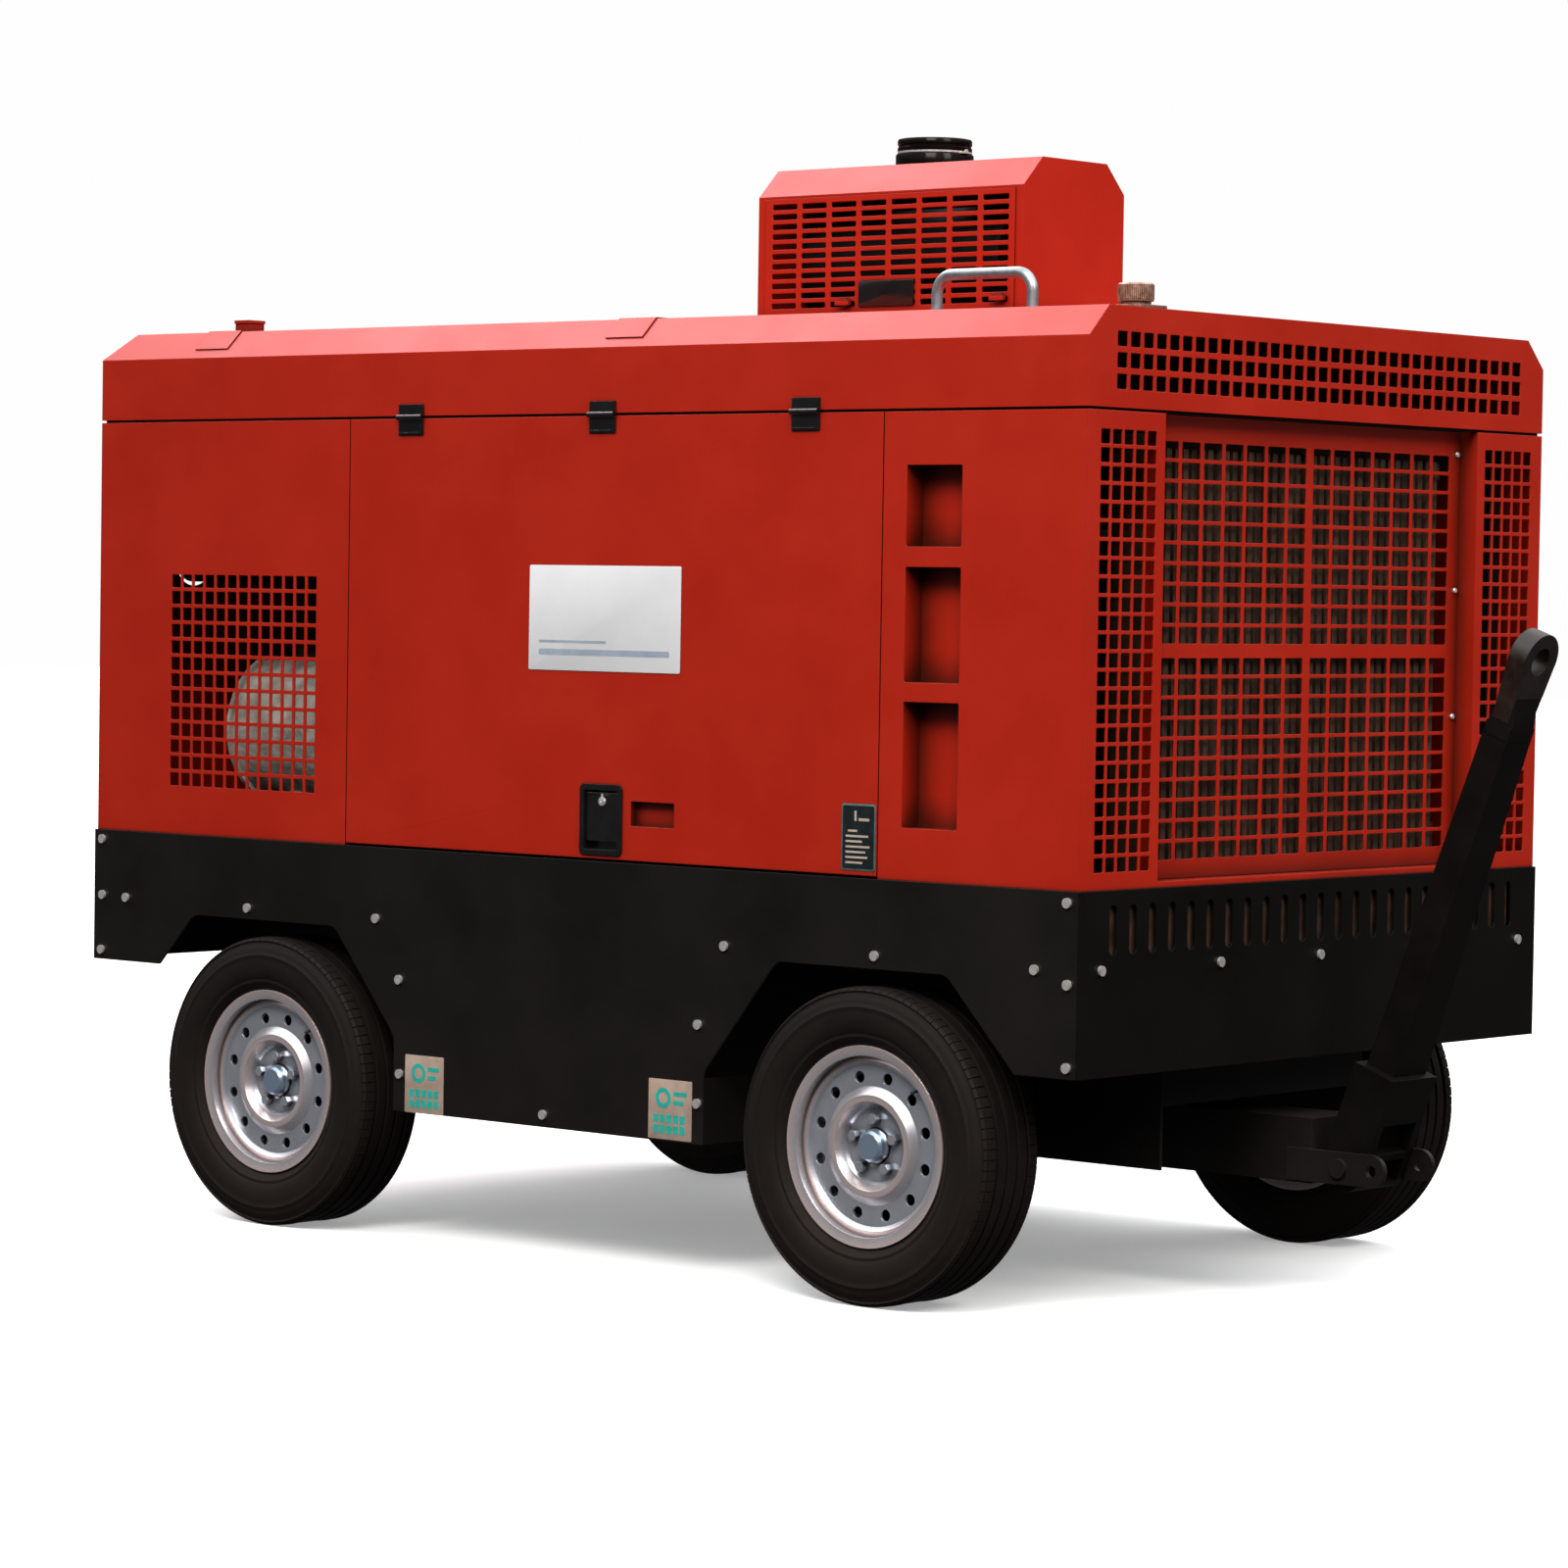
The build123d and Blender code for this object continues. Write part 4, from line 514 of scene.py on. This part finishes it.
# ---------------------------------------------------------------- roof fittings
# The raised filter box carries a blank gloss plaque and a moulded inlet collar held by a band clamp, and the
# roof has a galvanised handle by the foot pockets and a threaded filler neck with a milled cap.
plaque = surface("gloss_plaque", ("#100D0C", "#171312"), 60, 0.12, 2.0, 0.0, coat=0.6)
bm = bmesh.new()
slab(bm, at(339, -190.5, 2217), at(505, -194.5, 2277), corner=3, edge=0.8)
piece("filter_plaque", bm, plaque, "chassis")
collar_gloss = surface("gloss_moulded_collar", ("#0A0605", "#100A08"), 80, 0.14, 3.0, 0.01, shine=0.1)
bm = bmesh.new()
low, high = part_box("intake_collar")
foot = Vector(((low.x + high.x) / 2, 0, high.z - 0.066))
turned(bm, [(92, 0.3), (92, 27), (90.5, 30), (86, 31), (86, 36.5), (88, 38), (88, 44.5), (86, 46), (86, 51),
            (88, 52.5), (88, 61), (86, 65), (82.5, 65.8), (80.8, 64), (80.8, -36), (83.8, -36),
            (83.8, 0.3)], foot, (0, 0, 1), 72)
piece("inlet_collar", bm, collar_gloss, "chassis", stands_for=("intake_collar",))
bm = bmesh.new()
turned(bm, [(86.2, 31.6), (87.8, 31.6), (87.8, 36.0), (86.2, 36.0)], foot, (0, 0, 1), 72)
slab(bm, foot + Vector((0.0865, -0.016, 0.0295)), foot + Vector((0.100, 0.016, 0.0330)), corner=3, axis=2)
turned(bm, [(0, 0), (5, 0), (5, 5), (0, 5)], foot + Vector((0.093, 0, 0.0350)), (1, 0, 0), 12, closed=False)
piece("collar_clamp", bm, bright_zinc, "chassis")
galvanised = surface("galvanised_tube", ("#949BA0", "#A6ADB2"), 14, 0.36, 3.0, 0.015, metal=0.8)
dress(galvanised, "grab_handle")
# Hollows within 8 mm are darkened by an occlusion mask: painted shade.
brass = surface("tarnished_brass", ("#8E6552", "#C29A88"), 14, 0.36, 1.5, 0.04, metal=0.6, round_mm=1.0,
                crevice_shade=("#3A221A", 8))
dress(brass, "filler_neck")
low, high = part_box("coolant_cap")
hub = Vector(((low.x + high.x) / 2, (low.y + high.y) / 2, low.z))
wide, tall = (high.x - low.x) * 500 - 1.6, (high.z - low.z) * 1000
bm = bmesh.new()
turned(bm, [(0, 0), (wide, 0), (wide, 3), (wide, tall - 3.5), (wide - 2.5, tall - 0.6), (wide - 9, tall - 0.6),
            (wide - 10, tall - 2.4), (12, tall - 2.4), (10, tall), (0, tall)], hub, (0, 0, 1), 60, closed=False)
bmesh.ops.recalc_face_normals(bm, faces=bm.faces)
ribs = [f for f in bm.faces if abs(f.normal.z) < 0.1 and f.calc_area() > 0.00005
        and math.hypot(f.calc_center_median().x - hub.x, f.calc_center_median().y - hub.y) > (wide - 2) / 1000]
bmesh.ops.inset_individual(bm, faces=ribs, thickness=0.0008, depth=0.0012)
piece("filler_cap", bm, brass, "coolant_cap", stands_for=("coolant_cap",), angle=30)

# ---------------------------------------------------------------- towing eye
# A forged eye is welded to the top of the bar. A ground shoulder runs the bar's square end into the forging,
# and a plated grease plug stands on the eye's side.
tilt = math.radians(19.9)
up_bar = Vector((math.sin(tilt), 0, math.cos(tilt)))
out_bar = Vector((math.cos(tilt), 0, -math.sin(tilt)))
pivot = at(1680, 0, 303)
eye = pivot + up_bar * 1.199
bm = bmesh.new()
seat = eye - up_bar * 0.058 - out_bar * 0.012 + Vector((0, -0.0335, 0))
turned(bm, [(9, -3), (9, 4), (7, 5.6), (4, 5.6), (3.4, 2), (0, 2)], seat, (0, -1, 0), 20, closed=False)
piece("eye_grease_plug", bm, bright_zinc, "drawbar")
neck = pivot + up_bar * 1.049
bm = bmesh.new()
stations = ((-0.030, 0.0340, 0.0476, 0.004), (0.0, 0.0334, 0.0468, 0.006), (0.034, 0.0285, 0.0474, 0.009),
            (0.066, 0.0225, 0.0492, 0.005))
rings = []
for rise, deep, wide, cut in stations:
    corners = [(deep, wide - cut), (deep - cut, wide), (cut - deep, wide), (-deep, wide - cut)]
    corners += [(-a, -b) for a, b in corners]
    rings.append([bm.verts.new(neck + up_bar * rise + out_bar * a + Vector((0, b, 0))) for a, b in corners])
for lower, upper in zip(rings, rings[1:]):
    for i in range(8):
        bm.faces.new((lower[i], lower[(i + 1) % 8], upper[(i + 1) % 8], upper[i]))
bm.faces.new(rings[0])
bm.faces.new(rings[-1])
piece("eye_weld_shoulder", bm, tow_paint, "drawbar")

# ---------------------------------------------------------------- machinery
# Behind the panels: castings and tanks in grey-green enamel, black nylon fan and shroud, bare steel pipe,
# and the silencer, whose drum is wrapped in pale heat lagging below its riser and tail pipe, which are coloured
# near black as painted shade over dark steel.
iron = surface("engine_enamel", ("#3A3E3E", "#474B4A"), 60, 0.5, 3.0, 0.2, round_mm=3.0)
dress(iron, "engine", "airend", "control_panel", "separator_tank")
plastic = surface("black_nylon", ("#151515", "#1D1D1D"), 60, 0.55, 1.2, 0.04, round_mm=2.0)
dress(plastic, "fan", "fan_shroud", "battery")
dress(seam_rubber, "air_cleaner")
skin = surface("lagging_wrap", ("#8F8A82", "#C9C4BB"), 60, 0.6, 26.0, 5.0, shine=0.3)
tree = skin.node_tree
shader = next(n for n in tree.nodes if n.type == "BSDF_PRINCIPLED")
place = next(n for n in tree.nodes if n.type == "TEX_COORD").outputs["Object"]
rise = add(tree, "ShaderNodeSeparateXYZ", {"Vector": place}).outputs["Z"]
wrap_top = 1.36
# Above the lagging the riser and tail pipe are coloured near black: painted shade over their dark steel.
bare = add(tree, "ShaderNodeMath", {0: rise, 1: wrap_top}, operation="GREATER_THAN")
wrap = shader.inputs["Base Color"].links[0].from_socket
tree.links.new(mixed(tree, bare.outputs[0], wrap, linear("#14110F")), shader.inputs["Base Color"])
dress(skin, "silencer")
steel = surface("steel_pipe", ("#7C7A76", "#94928E"), 30, 0.42, 1.5, 0.05, metal=0.9, round_mm=1.0)
dress(steel, "outlet_valve", "valve_lever")
